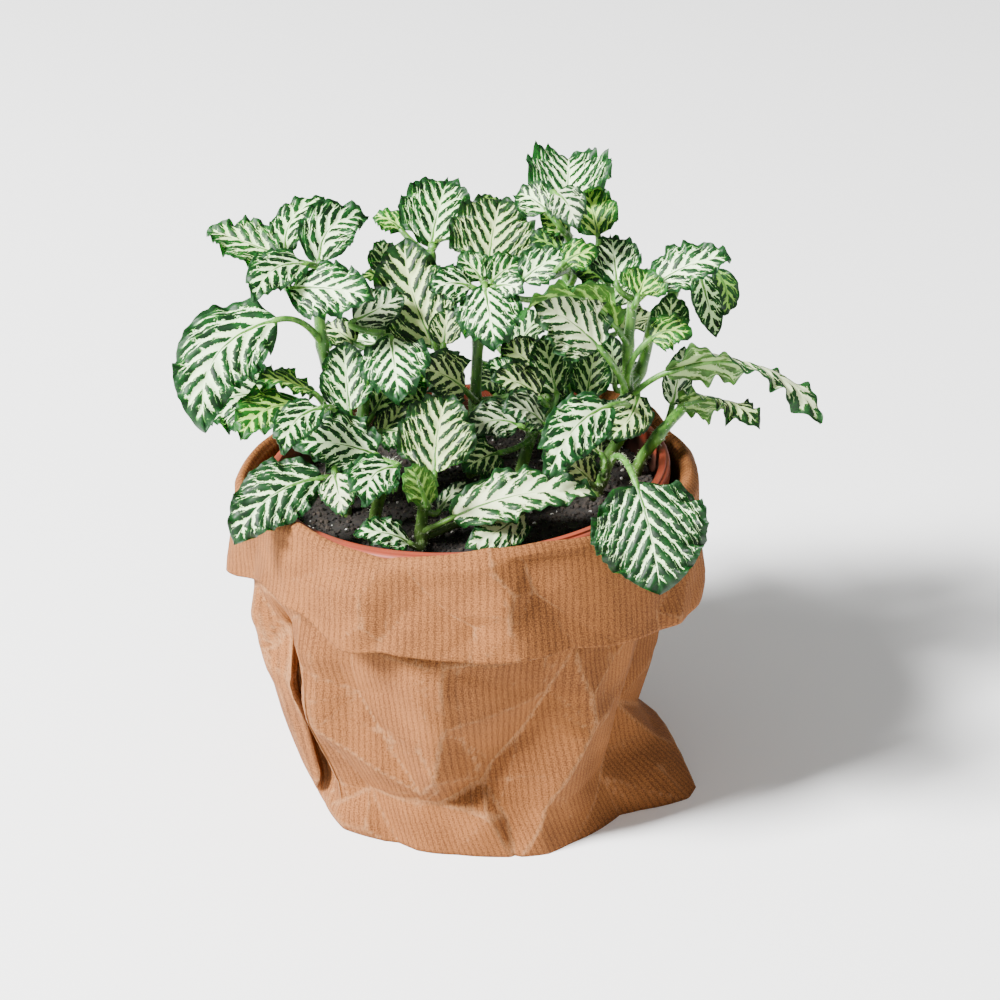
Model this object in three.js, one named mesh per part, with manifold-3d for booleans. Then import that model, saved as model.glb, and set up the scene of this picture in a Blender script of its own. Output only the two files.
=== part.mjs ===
// Potted nerve plant: a white-veined house plant in a nursery pot, dressed in a folded paper bag.
// Millimetres, +Z up. The origin is the middle of the bag's flat base, and -Y is the front.
import * as THREE from 'three';
import { mergeVertices } from 'three/addons/utils/BufferGeometryUtils.js';
import Module from 'manifold-3d';

const wasm = await Module();
wasm.setup();

// ---- driving dimensions -------------------------------------------------------------------

const GAP = 0.35; // air left between pieces that touch

const POT = {
  rimRadius: 60, // a 12 cm nursery pot
  rimBand: 11, // height of the stiff band under the rim
  neckRadius: 56.4, // outside, just under the band
  baseRadius: 39,
  height: 96.5,
  wall: 1.2,
  bead: 1.1, // how far each of the two beads stands out of the band
  sides: 28,
  tilt: THREE.MathUtils.degToRad(-3.3), // about Y: the left side stands lower
  lift: 3.8, // base centre above the floor, so that the tilted base clears the paper
  drains: 4,
  drainRadius: 4,
  drainCircle: 27,
  drainSides: 8,
};

const SOIL = {
  level: 86.5, // surface height inside the pot
  lumps: 1.3, // how far the crumbs heave the surface
  rings: 3,
  holeSides: 6,
  seed: 11,
};

const STEM = {
  rootDepth: 9, // how far a stem goes down into its hole
  holeDepth: 10.5,
  footRadius: 2.0,
  topRadius: 1.5,
  sides: 5,
  step: 11, // length of one straight piece of a stem
  leafStep: 2, // the stalks of one joint leave the stem this far under one another
};

const LEAF = {
  thickness: 0.7,
  stalkWidth: 1.8,
  stalkThickness: 1.6,
  wideFrom: 19, // blades from this width on have four strips across, narrower ones two
  stalkRows: [0, 0.5], // where the stalk and the blade are divided along their lengths
  wideRows: [0, 0.1, 0.26, 0.44, 0.63, 0.83, 1],
  narrowRows: [0, 0.16, 0.42, 0.72, 1],
  shoulder: 0.5, // exponents of the egg-shaped outline
  point: 0.8,
  scallop: 0.05, // share of the width by which the margin steps in and out
  ruffle: 0.045, // share of the width by which the margin waves up and down
  waves: 2.5,
  phaseStep: 1.7, // the waves of one leaf start this far from those of the leaf before
  footWidth: 0.9,
  tipWidth: 0.5,
};

// The paper bag: its body's middle in x and its radius by height, and the heights and radii of its
// turned-down cuff by azimuth in degrees (0 is +X, -90 the front).
const BAG = {
  wall: 0.9,
  sides: 48,
  rows: [0, 12, 30, 50, 68, 84],
  turnFrom: 15, // the ring at which the inside's rows begin
  middle: [[0, 2], [15, -3.5], [35, -5.6], [60, -7.7], [84, -6]],
  body: [[0, 56.5], [15, 54.5], [35, 57], [60, 61.2], [84, 62.5]],
  foldMiddle: -5.4,
  roll: 2, // how far the fold's crest stands out of the wall inside it, and the cuff 1.5 times that again
  fold: [[-180, 95.5], [-165, 94.5], [-150, 97.5], [-137, 101.4], [-119, 99.5], [-110, 98.9], [-99, 101.2],
    [-84, 103.9], [-72, 104.4], [-55, 102.4], [-23, 101], [0, 100], [24, 99.5], [32, 103], [40, 103.5],
    [56, 101], [72, 98], [90, 97], [125, 96.5], [150, 96.5], [180, 95.5]],
  crest: [[-180, 66.5], [-150, 64], [-137, 63], [-60, 63], [-35, 63.6], [-10, 64.6], [20, 64.8], [50, 64.6],
    [90, 64.5], [130, 64.5], [160, 66.5], [180, 66.5]],
  cuffRadius: 69.8,
  cuffMiddle: -4.8,
  hem: [[-180, 68], [-165, 72], [-150, 78], [-133, 77], [-120, 71], [-108, 73.2], [-96, 71.8], [-76, 72.6],
    [-64, 72], [-39, 67.5], [-16, 66], [0, 70], [40, 68], [80, 71], [110, 69], [150, 72], [180, 68]],
};

// Folds in the body: [azimuth, half-width, depth, from height, to height, slant in degrees per mm].
// A positive depth is a ridge and a negative one a valley.
const BODY_FOLDS = [
  [-147, 9, -6, 4, 70, -0.16], // the side pleat of the bag, left of the front
  [-162, 8, 1.5, 0, 70, 0],
  [-133, 8, 3, 28, 70, 0],
  [-136, 14, 6, -9, 14, 0], // the two folded corners at the front left of the base
  [-112, 12, 3, -9, 20, 0],
  [-99, 8, 2, 16, 74, 0],
  [-90, 7, -1.5, 8, 74, 0],
  [-73, 9, 2.6, 4, 72, 0.38], // the long slanting crease across the front
  [-47, 12, -3.4, 38, 72, 0.2],
  [-42, 10, 2, 2, 40, 0],
  [-23, 13, 6, -9, 18, 0], // the heel that sticks out on the right
  [20, 13, -4, 8, 70, 0],
  [47, 14, 4, -9, 60, 0],
  [80, 13, -2.6, 12, 74, -0.2],
  [104, 12, 2.4, 0, 74, 0.15],
  [135, 15, 5, -9, 18, 0],
  [160, 12, -3.5, 8, 70, 0],
];

// The same in the cuff, where the heights run over the cuff's own depth.
const CUFF_FOLDS = [
  [-172, 8, 2, 60, 110, 0],
  [-156, 7, -1.6, 60, 110, 0.3],
  [-140, 9, 1.4, 60, 110, -0.3],
  [-110, 5, -1.4, 60, 96, 0.2],
  [-84, 9, 1.2, 60, 110, 0.5],
  [-70, 8, -1.2, 60, 110, -0.5],
  [-40, 12, 1.2, 60, 110, 0],
  [-12, 12, 1.8, 60, 110, 0],
  [25, 10, -1.6, 60, 110, 0.3],
  [62, 10, 1.4, 60, 110, 0],
  [100, 9, -1.4, 60, 110, -0.3],
  [140, 12, 1.5, 60, 110, 0],
];

const FINISH = {
  paper: { color: 0xbf946a, roughness: 0.85, metalness: 0 },
  pot: { color: 0x9c4a35, roughness: 0.5, metalness: 0 },
  soil: { color: 0x231b16, roughness: 1, metalness: 0 },
  leaf: { color: 0x3f7f45, roughness: 0.5, metalness: 0 },
};

// ---- the leafy stems ----------------------------------------------------------------------
// root: where the stem leaves the soil (x, y). joints: the points that the stem passes through.
// leaves: [joint, base, tip, width, face, bow, sway, cup, twist, roll]
//   joint  the stem's joint that carries the leaf's stalk (0 is the lowest)
//   face   0 a blade that lies flat, 1 one that faces the front, -1 one that shows its back
//   bow    how far the midrib arches out of the blade, as a share of its length
//   sway   the same to the blade's right-hand side
//   cup    degrees by which both halves rise; twist: degrees that the blade turns on to its tip
//   roll   degrees that the blade is turned from its base on, where it isn't 0

const STEMS = {
  leafy_stem_left_tall: {
    root: [-40, 2],
    joints: [[-44, 4, 119], [-47, 2, 137], [-48, 6, 149], [-48, 10, 158]],
    leaves: [
      [3, [-60, 12, 161], [-81, 20, 166], 16, 0.6, 0.05, 0, 10, -20],
      [3, [-58, 22, 157], [-48, 44, 168], 11, 0.2, 0.05, -0.35, 10, 0],
      [3, [-48, 14, 158], [-34, 30, 166], 17, 0.8, 0.1, -0.45, 12, 0],
      [3, [-51, 4, 161], [-64, -16, 158], 14, 0.7, 0.15, 0.3, -5, 0],
      [3, [-55, -2, 156], [-31, -12, 157], 19, 0.6, 0.1, -0.05, -8, 0],
      [1, [-59, -6, 148], [-78, -30, 124], 24, 0.8, 0.1, 0.45, -5, 0],
    ],
  },
  leafy_stem_left_low: {
    root: [-41, -9],
    joints: [[-44, -11, 112], [-45, -12, 122]],
    leaves: [
      [1, [-61, -4, 124], [-86, -7, 120], 24, 0.6, 0.1, 0.1, 6, 0],
      [1, [-49, -10, 127], [-64, -18, 135], 13, 0.2, 0.1, 0.1, 5, 0],
      [1, [-53, -14, 125], [-68, -32, 123], 16, 0.5, 0.15, 0.25, 5, 0],
      [1, [-46, -24, 128.5], [-55, -42, 123], 12, 0.8, 0.1, 0.3, -5, 0],
    ],
  },
  leafy_stem_front_left: {
    root: [-32, -19],
    joints: [[-30, -22, 101], [-29, -24, 112]],
    leaves: [
      [1, [-31, -22, 113], [-54, -27, 119], 20, 0.6, 0.1, 0.1, 8, 0],
      [0, [-46, -33, 111], [-70, -47, 97], 19, 0.8, 0.18, 0.25, -6, 0],
      [0, [-42, -34, 113], [-39, -48, 107], 11, 1, 0.1, 0, -6, 0],
      [1, [-25, -32, 114], [-32, -50, 111], 15, 0.8, 0.12, 0.35, -6, 0],
    ],
  },
  leafy_stem_front: {
    root: [-18, -31],
    joints: [[-18, -31, 93], [-17, -33, 103], [-15, -33, 110]],
    leaves: [
      [2, [-14, -32, 112], [-10, -12, 128], 23, 1, 0.04, -0.1, 10, 0],
      [1, [-16, -38, 105], [-20, -46, 122], 10, -1, 0, 0, 10, 0],
      [0, [-21, -44, 96], [-36, -50, 102], 11, 0.5, 0.2, 0.1, 0, 0],
      [0, [-9, -36, 100], [32, -34, 107], 17, 0.55, 0.1, -0.12, 8, 15],
      [1, [-13, -32, 100], [-5, -24, 106], 5, 0.8, 0, -0.1, 0, 0],
      [0, [11, -30, 99], [-5, -46, 96], 13, 0.8, 0.1, -0.1, 0, 0],
    ],
  },
  leafy_stem_mid_left: {
    root: [-34, 6],
    joints: [[-36, 4, 112], [-33, 4, 130], [-29, 3, 140]],
    leaves: [
      [0, [-39, -9, 121], [-41, 3, 138], 16, 1, 0.04, 0, 10, 0],
      [2, [-27, 0, 140], [-24, -22, 130], 21, 1, 0.12, 0, -8, 0],
      [2, [-38, 8, 135], [-47, 14, 139], 10, 0.6, 0.1, 0, 10, 0],
      [2, [-38, 8, 142], [-24, 16, 148], 13, 0.8, 0.1, 0.1, 8, 0],
      [0, [-31, -4, 109], [-24, 2, 119], 10, 0.8, 0.1, 0.1, 8, 0],
      [0, [-33, 4, 114], [-26, 14, 124], 10, 0.9, 0, 0, 8, 0],
      [0, [-30, -3, 112], [-20, -11, 111], 13, 0.6, 0.15, -0.2, -5, 0],
      [0, [-39, -6, 112], [-33, -15, 110], 10, 0.7, 0.15, 0, -5, 0],
    ],
  },
  leafy_stem_back_left: {
    root: [-17, 22],
    joints: [[-14, 18, 113], [-13, 16, 129], [-16, 24, 142], [-16, 32, 155]],
    leaves: [
      [1, [-15, 12, 133], [-24, 30, 160], 25, 1, 0.05, -0.12, 12, 0],
      [1, [-12, 7, 135], [-11, 14, 144], 10, 0.9, 0, 0, 8, 0],
      [2, [-29, 24, 150], [-31, 36, 157], 10, 0.8, 0, 0, 12, 0],
      [2, [-30, 30, 147], [-37, 28, 148], 6, 0.3, 0.2, 0, 0, 0],
      [3, [-16, 34, 156], [-11, 54, 170], 24, 1, 0.08, -0.05, 12, 0],
      [3, [-25, 38, 159], [-34, 42, 162], 9, 0.4, 0.2, 0.15, 0, 0],
      [3, [-3, 54, 162], [5, 58, 161], 4, 0.4, 0.1, -0.25, 0, 0],
      [0, [-18, 14, 113], [-27, 9, 117], 15, 0.7, 0.1, 0.1, 8, 0],
    ],
  },
  leafy_stem_centre: {
    root: [-4, 14],
    joints: [[-3, 16, 113], [-2, 18, 132], [0, 22, 148]],
    leaves: [
      [2, [1, 24, 152], [5, 46, 167], 27, 1, 0.05, -0.05, 12, 0],
      [2, [0, 12, 151], [3, -8, 140], 20, 1, 0.15, 0, -12, 0],
      [2, [-4, 12, 151], [-16, 7, 152], 12, 0.8, 0.15, 0.2, -8, 0],
      [2, [3, 12, 151], [11, 5, 152], 9, 0.8, 0.15, -0.2, -8, 0],
      [2, [-1, 18, 151], [-8, 22, 157], 11, 0.7, 0.1, 0.1, 12, 0],
      [2, [2, 16, 151], [11, 20, 156], 12, 0.7, 0.1, -0.1, 12, 0],
      [0, [-6, 4, 122], [-19, -6, 133], 17, 0.7, 0.1, 0.1, 6, 0],
      [0, [9, 10, 122], [1, 12, 128], 9, 0.7, 0.1, 0, 6, 0],
      [0, [1, 9, 115], [7, -2, 111], 13, 0.8, 0.15, -0.15, -5, 0],
    ],
  },
  leafy_stem_top: {
    root: [18, 30],
    joints: [[22, 30, 120], [24, 30, 143], [25, 29, 160]],
    leaves: [
      [2, [24, 28, 171], [25, 54, 177], 27, 1, 0.18, 0, 20, 0],
      [2, [33, 21, 163.5], [30, 36, 174], 15, 0.9, 0.05, 0, 12, 0],
      [2, [20, 20, 177], [26, 4, 172], 12, 1, 0.2, -0.15, -8, 0],
      [2, [18, 18, 172], [9, 26, 175], 12, 0.8, 0.15, 0.1, 8, 0],
      [2, [23, 20, 165], [16, 22, 170], 9, 0.8, 0.1, 0.1, 8, 0],
      [1, [22, 18, 160], [13, 20, 164], 11, 0.8, 0.05, 0.05, 8, 0],
      [2, [23, 8, 160], [33, 10, 162], 11, 0.6, 0.2, -0.2, -5, 0],
      [1, [11, 10, 154], [24, 12, 161], 12, 0.7, 0.1, -0.1, 8, 0],
      [1, [34, 18, 152], [25, 18, 155], 9, 0.8, 0.1, 0.1, 5, 0],
      [0, [21, 23, 117], [17, 11, 113], 14, 0.8, 0.1, 0.15, -5, 0],
    ],
  },
  leafy_stem_right: {
    root: [36, 12],
    joints: [[41, 12, 105], [42, 12, 118], [42, 11, 133], [43, 10, 148]],
    leaves: [
      [2, [38, 6, 141], [9, -4, 149], 17, 0.1, 0.5, 0.05, 0, 0, -50],
      [1, [33, 0, 137], [14, -2, 152], 22, 0.75, 0.05, 0.1, 10, 0],
      [3, [38, 8, 154], [37, 23, 163], 16, 0.9, 0.1, 0, 10, 0],
      [3, [48, 6, 153], [71, 8, 162], 16, 0.45, 0.15, -0.1, 6, 0],
      [3, [44, 0, 153], [47, 6, 159], 15, 0.9, 0, 0, 15, 0],
      [1, [48, 4, 138], [60, 2, 140], 13, 0.5, 0.2, -0.25, -5, 0],
      [1, [53, 5, 127], [98, -10, 118], 20, 0.1, 0.38, -0.15, -12, -100, 82],
      [1, [36, -10, 123], [18, -38, 113], 17, 0.9, 0.15, 0.2, -5, 0],
      [1, [45, 9, 118], [36, -4, 110], 13, 0.9, 0.1, -0.2, 0, 0],
      [0, [38, 6, 109], [29, 8, 114], 13, 0.8, 0.1, 0, 5, 0],
    ],
  },
  leafy_stem_right_low: {
    root: [45, 6],
    joints: [[51, 4, 107], [59, 12, 113]],
    leaves: [
      [1, [58, 13, 113], [81, 2, 111], 18, 0.1, 0.32, -0.2, -12, -100, 80],
      [0, [56, 18, 111], [60, 28, 126], 9, 0.8, 0, 0, 5, 0],
    ],
  },
  leafy_stem_right_front: {
    root: [33, -6],
    joints: [[34, -8, 98], [35, -12, 102]],
    leaves: [
      [1, [42, -48, 116], [48, -69, 93], 33, 1, 0.12, -0.05, -8, 0],
      [0, [31, -14, 100], [21, -20, 111], 14, 0.7, 0.1, 0.1, 6, 0],
      [0, [34, 0, 103], [26, 0, 110], 12, 0.8, 0.1, 0, 5, 0],
    ],
  },
  leafy_stem_right_back: {
    root: [36, 29],
    joints: [[47, 34, 115], [51, 32, 133], [57, 30, 143]],
    leaves: [
      [2, [63, 20, 152], [68, 12, 135], 9, 1, 0.1, 0, -5, 0],
      [2, [68, 28, 150], [71, 26, 136], 8, 0.9, 0.2, -0.3, -5, 0],
      [1, [53, 19, 133], [55, 28, 143], 12, 1, 0, 0.15, 8, 0],
      [0, [39, 26, 114], [38, 34, 127], 11, 1, 0, 0, 5, 0],
    ],
  },
  leafy_stem_mid: {
    root: [10, 2],
    joints: [[15, 4, 111], [19, 8, 117]],
    leaves: [
      [1, [21, 8, 119], [17, 20, 133], 13, 1, 0, 0, 8, 0],
      [1, [30, 14, 115], [33, 24, 128], 13, 1, 0, 0, 8, 0],
      [1, [16, 20, 121], [5, 24, 129], 14, 0.8, 0.1, 0, 8, 0],
      [1, [16, 2, 120], [2, -2, 128], 14, 0.6, 0.1, 0.2, 8, 0],
      [0, [10, -6, 115], [-5, -12, 115], 13, 0.6, 0.15, 0.3, 5, 0],
      [0, [17, -12, 118], [6, -19, 125], 15, 0.5, 0.15, 0.3, 5, 0],
      [0, [4, -12, 109], [-6, -20, 107], 14, 0.7, 0.1, 0.1, 0, 0],
    ],
  },
  leafy_stem_rear_left: {
    root: [-24, 42],
    joints: [[-26, 46, 104], [-28, 48, 120]],
    leaves: [
      [1, [-30, 54, 122], [-36, 76, 126], 17, 0, 0.1, 0, 8, 0],
      [1, [-33, 48, 118], [-50, 60, 114], 16, 0, 0.12, 0, 6, 0],
      [1, [-24, 56, 114], [-16, 76, 106], 15, 0, 0.15, 0, 6, 0],
      [0, [-30, 56, 106], [-38, 74, 92], 17, 0, 0.15, 0, 6, 0],
      [0, [-21, 40, 111], [-14, 29, 114], 15, 0.7, 0.1, 0, 5, 0],
    ],
  },
  leafy_stem_rear: {
    root: [4, 48],
    joints: [[4, 52, 102], [6, 55, 112]],
    leaves: [
      [1, [2, 62, 114], [-4, 84, 112], 17, 0, 0.12, 0, 8, 0],
      [1, [10, 60, 112], [19, 70, 122], 14, 0, 0.1, 0, 8, 0],
      [0, [6, 62, 104], [8, 80, 92], 18, 0, 0.15, 0, 6, 0],
      [0, [6, 44, 108], [-2, 32, 110], 16, 0.6, 0.15, 0.1, -5, 0],
    ],
  },
  leafy_stem_rear_right: {
    root: [24, 39],
    joints: [[26, 41, 108], [31, 46, 124]],
    leaves: [
      [1, [38, 56, 126], [44, 76, 132], 17, 0, 0.1, 0, 8, 0],
      [1, [42, 50, 122], [54, 60, 124], 15, 0, 0.12, 0, 6, 0],
      [1, [34, 58, 118], [31, 82, 111], 16, 0, 0.12, 0, 8, 0],
      [0, [38, 58, 108], [44, 74, 94], 18, 0, 0.15, 0, 6, 0],
    ],
  },
};

// ---- small helpers ------------------------------------------------------------------------

const UP = new THREE.Vector3(0, 0, 1);
const FRONT = new THREE.Vector3(0, -0.9, 0.44); // a blade of face 1 looks this way

// Reads a value from a list of [place, value] pairs that runs up in place.
function readOff(pairs, place) {
  let k = 1;
  while (k < pairs.length - 1 && place > pairs[k][0]) k += 1;
  const [from, low] = pairs[k - 1];
  const [to, high] = pairs[k];
  return mix(low, high, THREE.MathUtils.clamp((place - from) / (to - from), 0, 1));
}

// A seeded draw between 0 and 1.
function makeRandom(seed) {
  let state = seed;
  return () => {
    state = (state * 1664525 + 1013904223) % 4294967296;
    return state / 4294967296;
  };
}

function vec(point) {
  return new THREE.Vector3(point[0], point[1], point[2]);
}

function mix(a, b, share) {
  return a + (b - a) * share;
}

// Adds the products of vectors and numbers: sum(a, 2, b, -1) is 2a - b.
function sum(...terms) {
  const total = new THREE.Vector3();
  for (let k = 0; k < terms.length; k += 2) {
    total.addScaledVector(terms[k], terms[k + 1]);
  }
  return total;
}

function geometryFrom(points, faces) {
  const geometry = new THREE.BufferGeometry();
  geometry.setAttribute('position', new THREE.Float32BufferAttribute(points.flatMap((p) => [p.x, p.y, p.z]), 3));
  geometry.setIndex(faces.flat());
  return geometry;
}

function toSolid(geometry) {
  const bare = geometry.clone();
  bare.deleteAttribute('normal');
  bare.deleteAttribute('uv');
  const merged = mergeVertices(bare, 1e-4);
  return new wasm.Manifold(new wasm.Mesh({
    numProp: 3,
    vertProperties: new Float32Array(merged.attributes.position.array),
    triVerts: new Uint32Array(merged.index.array),
  }));
}

function fromSolid(solid) {
  const mesh = solid.getMesh();
  const geometry = new THREE.BufferGeometry();
  geometry.setAttribute('position', new THREE.Float32BufferAttribute(mesh.vertProperties, 3));
  geometry.setIndex(Array.from(mesh.triVerts));
  return geometry;
}

// Joins rings of equal length into one closed skin. The first and last ring are capped with a fan.
// From the ring turnFrom on, each four-sided field is split along its other diagonal.
function loft(rings, turnFrom = rings.length) {
  const count = rings[0].length;
  const points = rings.flat();
  const faces = [];
  for (let i = 0; i < rings.length - 1; i += 1) {
    for (let k = 0; k < count; k += 1) {
      const a = i * count + k;
      const b = i * count + ((k + 1) % count);
      if (i < turnFrom) {
        faces.push([a, b, b + count], [a, b + count, a + count]);
      } else {
        faces.push([a, b, a + count], [b, b + count, a + count]);
      }
    }
  }
  const lastRow = (rings.length - 1) * count;
  const first = points.push(middle(rings[0])) - 1;
  const last = points.push(middle(rings[rings.length - 1])) - 1;
  for (let k = 0; k < count; k += 1) {
    const next = (k + 1) % count;
    faces.push([first, next, k], [last, lastRow + k, lastRow + next]);
  }
  return geometryFrom(points, faces);
}

function middle(ring) {
  const total = new THREE.Vector3();
  ring.forEach((p) => total.add(p));
  return total.divideScalar(ring.length);
}

// A tube of flat sides along a curve, with a radius that runs from one value to another.
function tube(curve, steps, sides, startRadius, endRadius) {
  const frames = curve.computeFrenetFrames(steps, false);
  const rings = [];
  for (let i = 0; i <= steps; i += 1) {
    const centre = curve.getPointAt(i / steps);
    const radius = mix(startRadius, endRadius, i / steps);
    const ring = [];
    for (let k = 0; k < sides; k += 1) {
      const angle = (2 * Math.PI * k) / sides;
      ring.push(sum(centre, 1, frames.normals[i], radius * Math.cos(angle), frames.binormals[i], radius * Math.sin(angle)));
    }
    rings.push(ring);
  }
  return loft(rings);
}

// ---- leaves -------------------------------------------------------------------------------

// The midrib, with the directions across it and out of the blade.
function midrib(base, tip, face, bow, sway) {
  const chord = sum(tip, 1, base, -1);
  const length = chord.length();
  chord.normalize();
  const outward = sum(UP, 1 - Math.abs(face), FRONT, Math.abs(face)).multiplyScalar(face < 0 ? -1 : 1);
  const across = new THREE.Vector3().crossVectors(chord, outward).normalize();
  const out = new THREE.Vector3().crossVectors(across, chord);
  const bend = sum(base, 0.5, tip, 0.5, out, bow * length, across, sway * length);
  return { base, tip, bend, chord, across, out, curve: new THREE.QuadraticBezierCurve3(base, bend, tip) };
}

// One row of the blade: the point on the midrib and the frame there.
function bladeFrame(rib, share, roll, twist) {
  const tangent = rib.curve.getTangent(share);
  const inPlane = sum(rib.chord, tangent.dot(rib.chord), rib.across, tangent.dot(rib.across)).normalize();
  const side = new THREE.Vector3().crossVectors(inPlane, rib.out);
  const out = new THREE.Vector3().crossVectors(side, tangent);
  const angle = THREE.MathUtils.degToRad(roll + twist * share);
  return {
    centre: rib.curve.getPoint(share),
    side: sum(side, Math.cos(angle), out, Math.sin(angle)),
    out: sum(side, -Math.sin(angle), out, Math.cos(angle)),
  };
}

// Half the blade's width at a share of its length, as a part of the widest half.
function outline(share) {
  const peak = LEAF.shoulder / (LEAF.shoulder + LEAF.point);
  const rise = (share / peak) ** LEAF.shoulder;
  const fall = ((1 - share) / (1 - peak)) ** LEAF.point;
  return rise * fall;
}

// The stalk's frames, from inside the stem to where the blade begins.
function stalkFrames(joint, rib) {
  const reach = joint.distanceTo(rib.base);
  const guide = sum(rib.base, 1, rib.curve.getTangent(0), -0.45 * reach);
  const curve = new THREE.QuadraticBezierCurve3(joint, guide, rib.base);
  return LEAF.stalkRows.map((share) => {
    const tangent = curve.getTangent(share);
    const level = Math.abs(tangent.dot(rib.across)) < 0.9 ? rib.across : rib.out;
    const side = sum(level, 1, tangent, -tangent.dot(level)).normalize();
    return { centre: curve.getPoint(share), side, out: new THREE.Vector3().crossVectors(side, tangent) };
  });
}

// A leaf: a stalk that widens into a thin blade with a scalloped, waved margin, in one skin. Both
// faces of the blade are split into triangles alike.
function leafSkin(joint, rib, width, cup, twist, roll, phase) {
  const wide = width >= LEAF.wideFrom;
  const columns = wide ? 4 : 2;
  const shares = wide ? LEAF.wideRows : LEAF.narrowRows;
  const rise = THREE.MathUtils.degToRad(cup);
  const upper = [];
  const lower = [];
  const addRow = (frame, half, thick, lift) => {
    for (let k = 0; k <= columns; k += 1) {
      const v = -1 + (2 * k) / columns;
      const skin = sum(frame.centre, 1, frame.side, v * half, frame.out, lift(v));
      upper.push(sum(skin, 1, frame.out, thick / 2));
      lower.push(sum(skin, 1, frame.out, -thick / 2));
    }
  };
  stalkFrames(joint, rib).forEach((frame) => addRow(frame, LEAF.stalkWidth / 2, LEAF.stalkThickness, () => 0));
  shares.forEach((share, row) => {
    const step = 1 + LEAF.scallop * (row % 2 === 0 ? 1 : -1);
    const end = share === 0 ? LEAF.footWidth : LEAF.tipWidth;
    const half = Math.max((width / 2) * outline(share) * step, end);
    const wave = (v) => Math.sin(2 * Math.PI * LEAF.waves * share + (v > 0 ? phase : phase + 2));
    const lift = (v) => Math.abs(v) * half * Math.sin(rise) + LEAF.ruffle * width * v * v * wave(v);
    addRow(bladeFrame(rib, share, roll, twist), half * Math.cos(rise), LEAF.thickness, lift);
  });
  const rows = LEAF.stalkRows.length + shares.length;
  return geometryFrom([...upper, ...lower], bladeFaces(rows, columns + 1));
}

function bladeFaces(rows, across) {
  const under = rows * across;
  const faces = [];
  for (let i = 0; i < rows - 1; i += 1) {
    for (let k = 0; k < across - 1; k += 1) {
      const a = i * across + k;
      const b = a + across;
      faces.push([a, a + 1, b + 1], [a, b + 1, b]);
      faces.push([under + a, under + b + 1, under + a + 1], [under + a, under + b, under + b + 1]);
    }
    const left = i * across;
    const right = left + across - 1;
    faces.push([left, left + across, under + left + across], [left, under + left + across, under + left]);
    faces.push([right, under + right + across, right + across], [right, under + right, under + right + across]);
  }
  for (let k = 0; k < across - 1; k += 1) {
    const last = (rows - 1) * across + k;
    faces.push([k, under + k + 1, k + 1], [k, under + k, under + k + 1]);
    faces.push([last, last + 1, under + last + 1], [last, under + last + 1, under + last]);
  }
  return faces;
}

// ---- a leafy stem: its stem, stalks and blades fused into one body -------------------------

function soilHeight(x) {
  return POT.lift + SOIL.level * Math.cos(POT.tilt) - x * Math.tan(POT.tilt);
}

function stemCurve(stem) {
  const [x, y] = stem.root;
  const ground = soilHeight(x);
  const points = [new THREE.Vector3(x, y, ground - STEM.rootDepth), new THREE.Vector3(x, y, ground + 2)];
  stem.joints.forEach((joint) => {
    if (joint[2] > ground + 3) points.push(vec(joint));
  });
  return new THREE.CatmullRomCurve3(points, false, 'centripetal');
}

// Where a leaf's stalk leaves the stem: the stalks of one joint start one under the other.
function leafStart(stem, joint, base) {
  const [x, y] = stem.root;
  const node = vec(stem.joints[joint]);
  const below = joint > 0 ? vec(stem.joints[joint - 1]) : new THREE.Vector3(x, y, soilHeight(x));
  const higher = stem.leaves.filter((other) => other[0] === joint && other[1][2] > base[2]).length;
  const way = sum(below, 1, node, -1);
  const drop = Math.min(higher * STEM.leafStep, 0.7 * way.length());
  return sum(node, 1, way.normalize(), drop);
}

function leafyStem(stem) {
  const curve = stemCurve(stem);
  const steps = Math.max(3, Math.round(curve.getLength() / STEM.step));
  let body = toSolid(tube(curve, steps, STEM.sides, STEM.footRadius, STEM.topRadius));
  stem.leaves.forEach(([joint, base, tip, width, face, bow, sway, cup, twist, roll = 0], index) => {
    const rib = midrib(vec(base), vec(tip), face, bow, sway);
    const start = leafStart(stem, joint, base);
    body = body.add(toSolid(leafSkin(start, rib, width, cup, twist, roll, index * LEAF.phaseStep)));
  });
  return fromSolid(body);
}

// ---- pot and soil -------------------------------------------------------------------------

function potProfile() {
  const { rimRadius: rim, neckRadius: neck, baseRadius: base, height, wall, bead, rimBand: band } = POT;
  const under = height - band;
  const outside = [[0, 0], [base - 2, 0], [base, 2], [neck, under], [rim - bead, under + 0.8]];
  const beads = [[rim - bead, height - 5], [rim, height - 4], [rim - bead, height - 2.6], [rim, height - 1]];
  const inside = [[rim - 1, height], [rim - 2.4, height - 0.6], [rim - 2.6, under + 2], [neck - wall, under - 1]];
  const floor = [[base - wall, 3], [base - wall - 2, wall], [0, wall]];
  return [...outside, ...beads, ...inside, ...floor].map(([r, z]) => new THREE.Vector2(Math.max(r, 0), z));
}

function potInnerRadius(z) {
  return mix(POT.baseRadius, POT.neckRadius, (z - 3) / (POT.height - POT.rimBand - 4)) - POT.wall;
}

function potSolid() {
  let body = toSolid(latheSkin(potProfile(), POT.sides));
  for (let k = 0; k < POT.drains; k += 1) {
    const angle = (2 * Math.PI * k) / POT.drains;
    const drain = new THREE.CylinderGeometry(POT.drainRadius, POT.drainRadius, 8, POT.drainSides);
    drain.rotateX(Math.PI / 2);
    drain.translate(POT.drainCircle * Math.cos(angle), POT.drainCircle * Math.sin(angle), 0);
    body = body.subtract(toSolid(drain));
  }
  return body;
}

// A turned body whose profile starts and ends on the axis.
function latheSkin(profile, sides) {
  const geometry = new THREE.LatheGeometry(profile, sides);
  geometry.rotateX(Math.PI / 2);
  return geometry;
}

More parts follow.
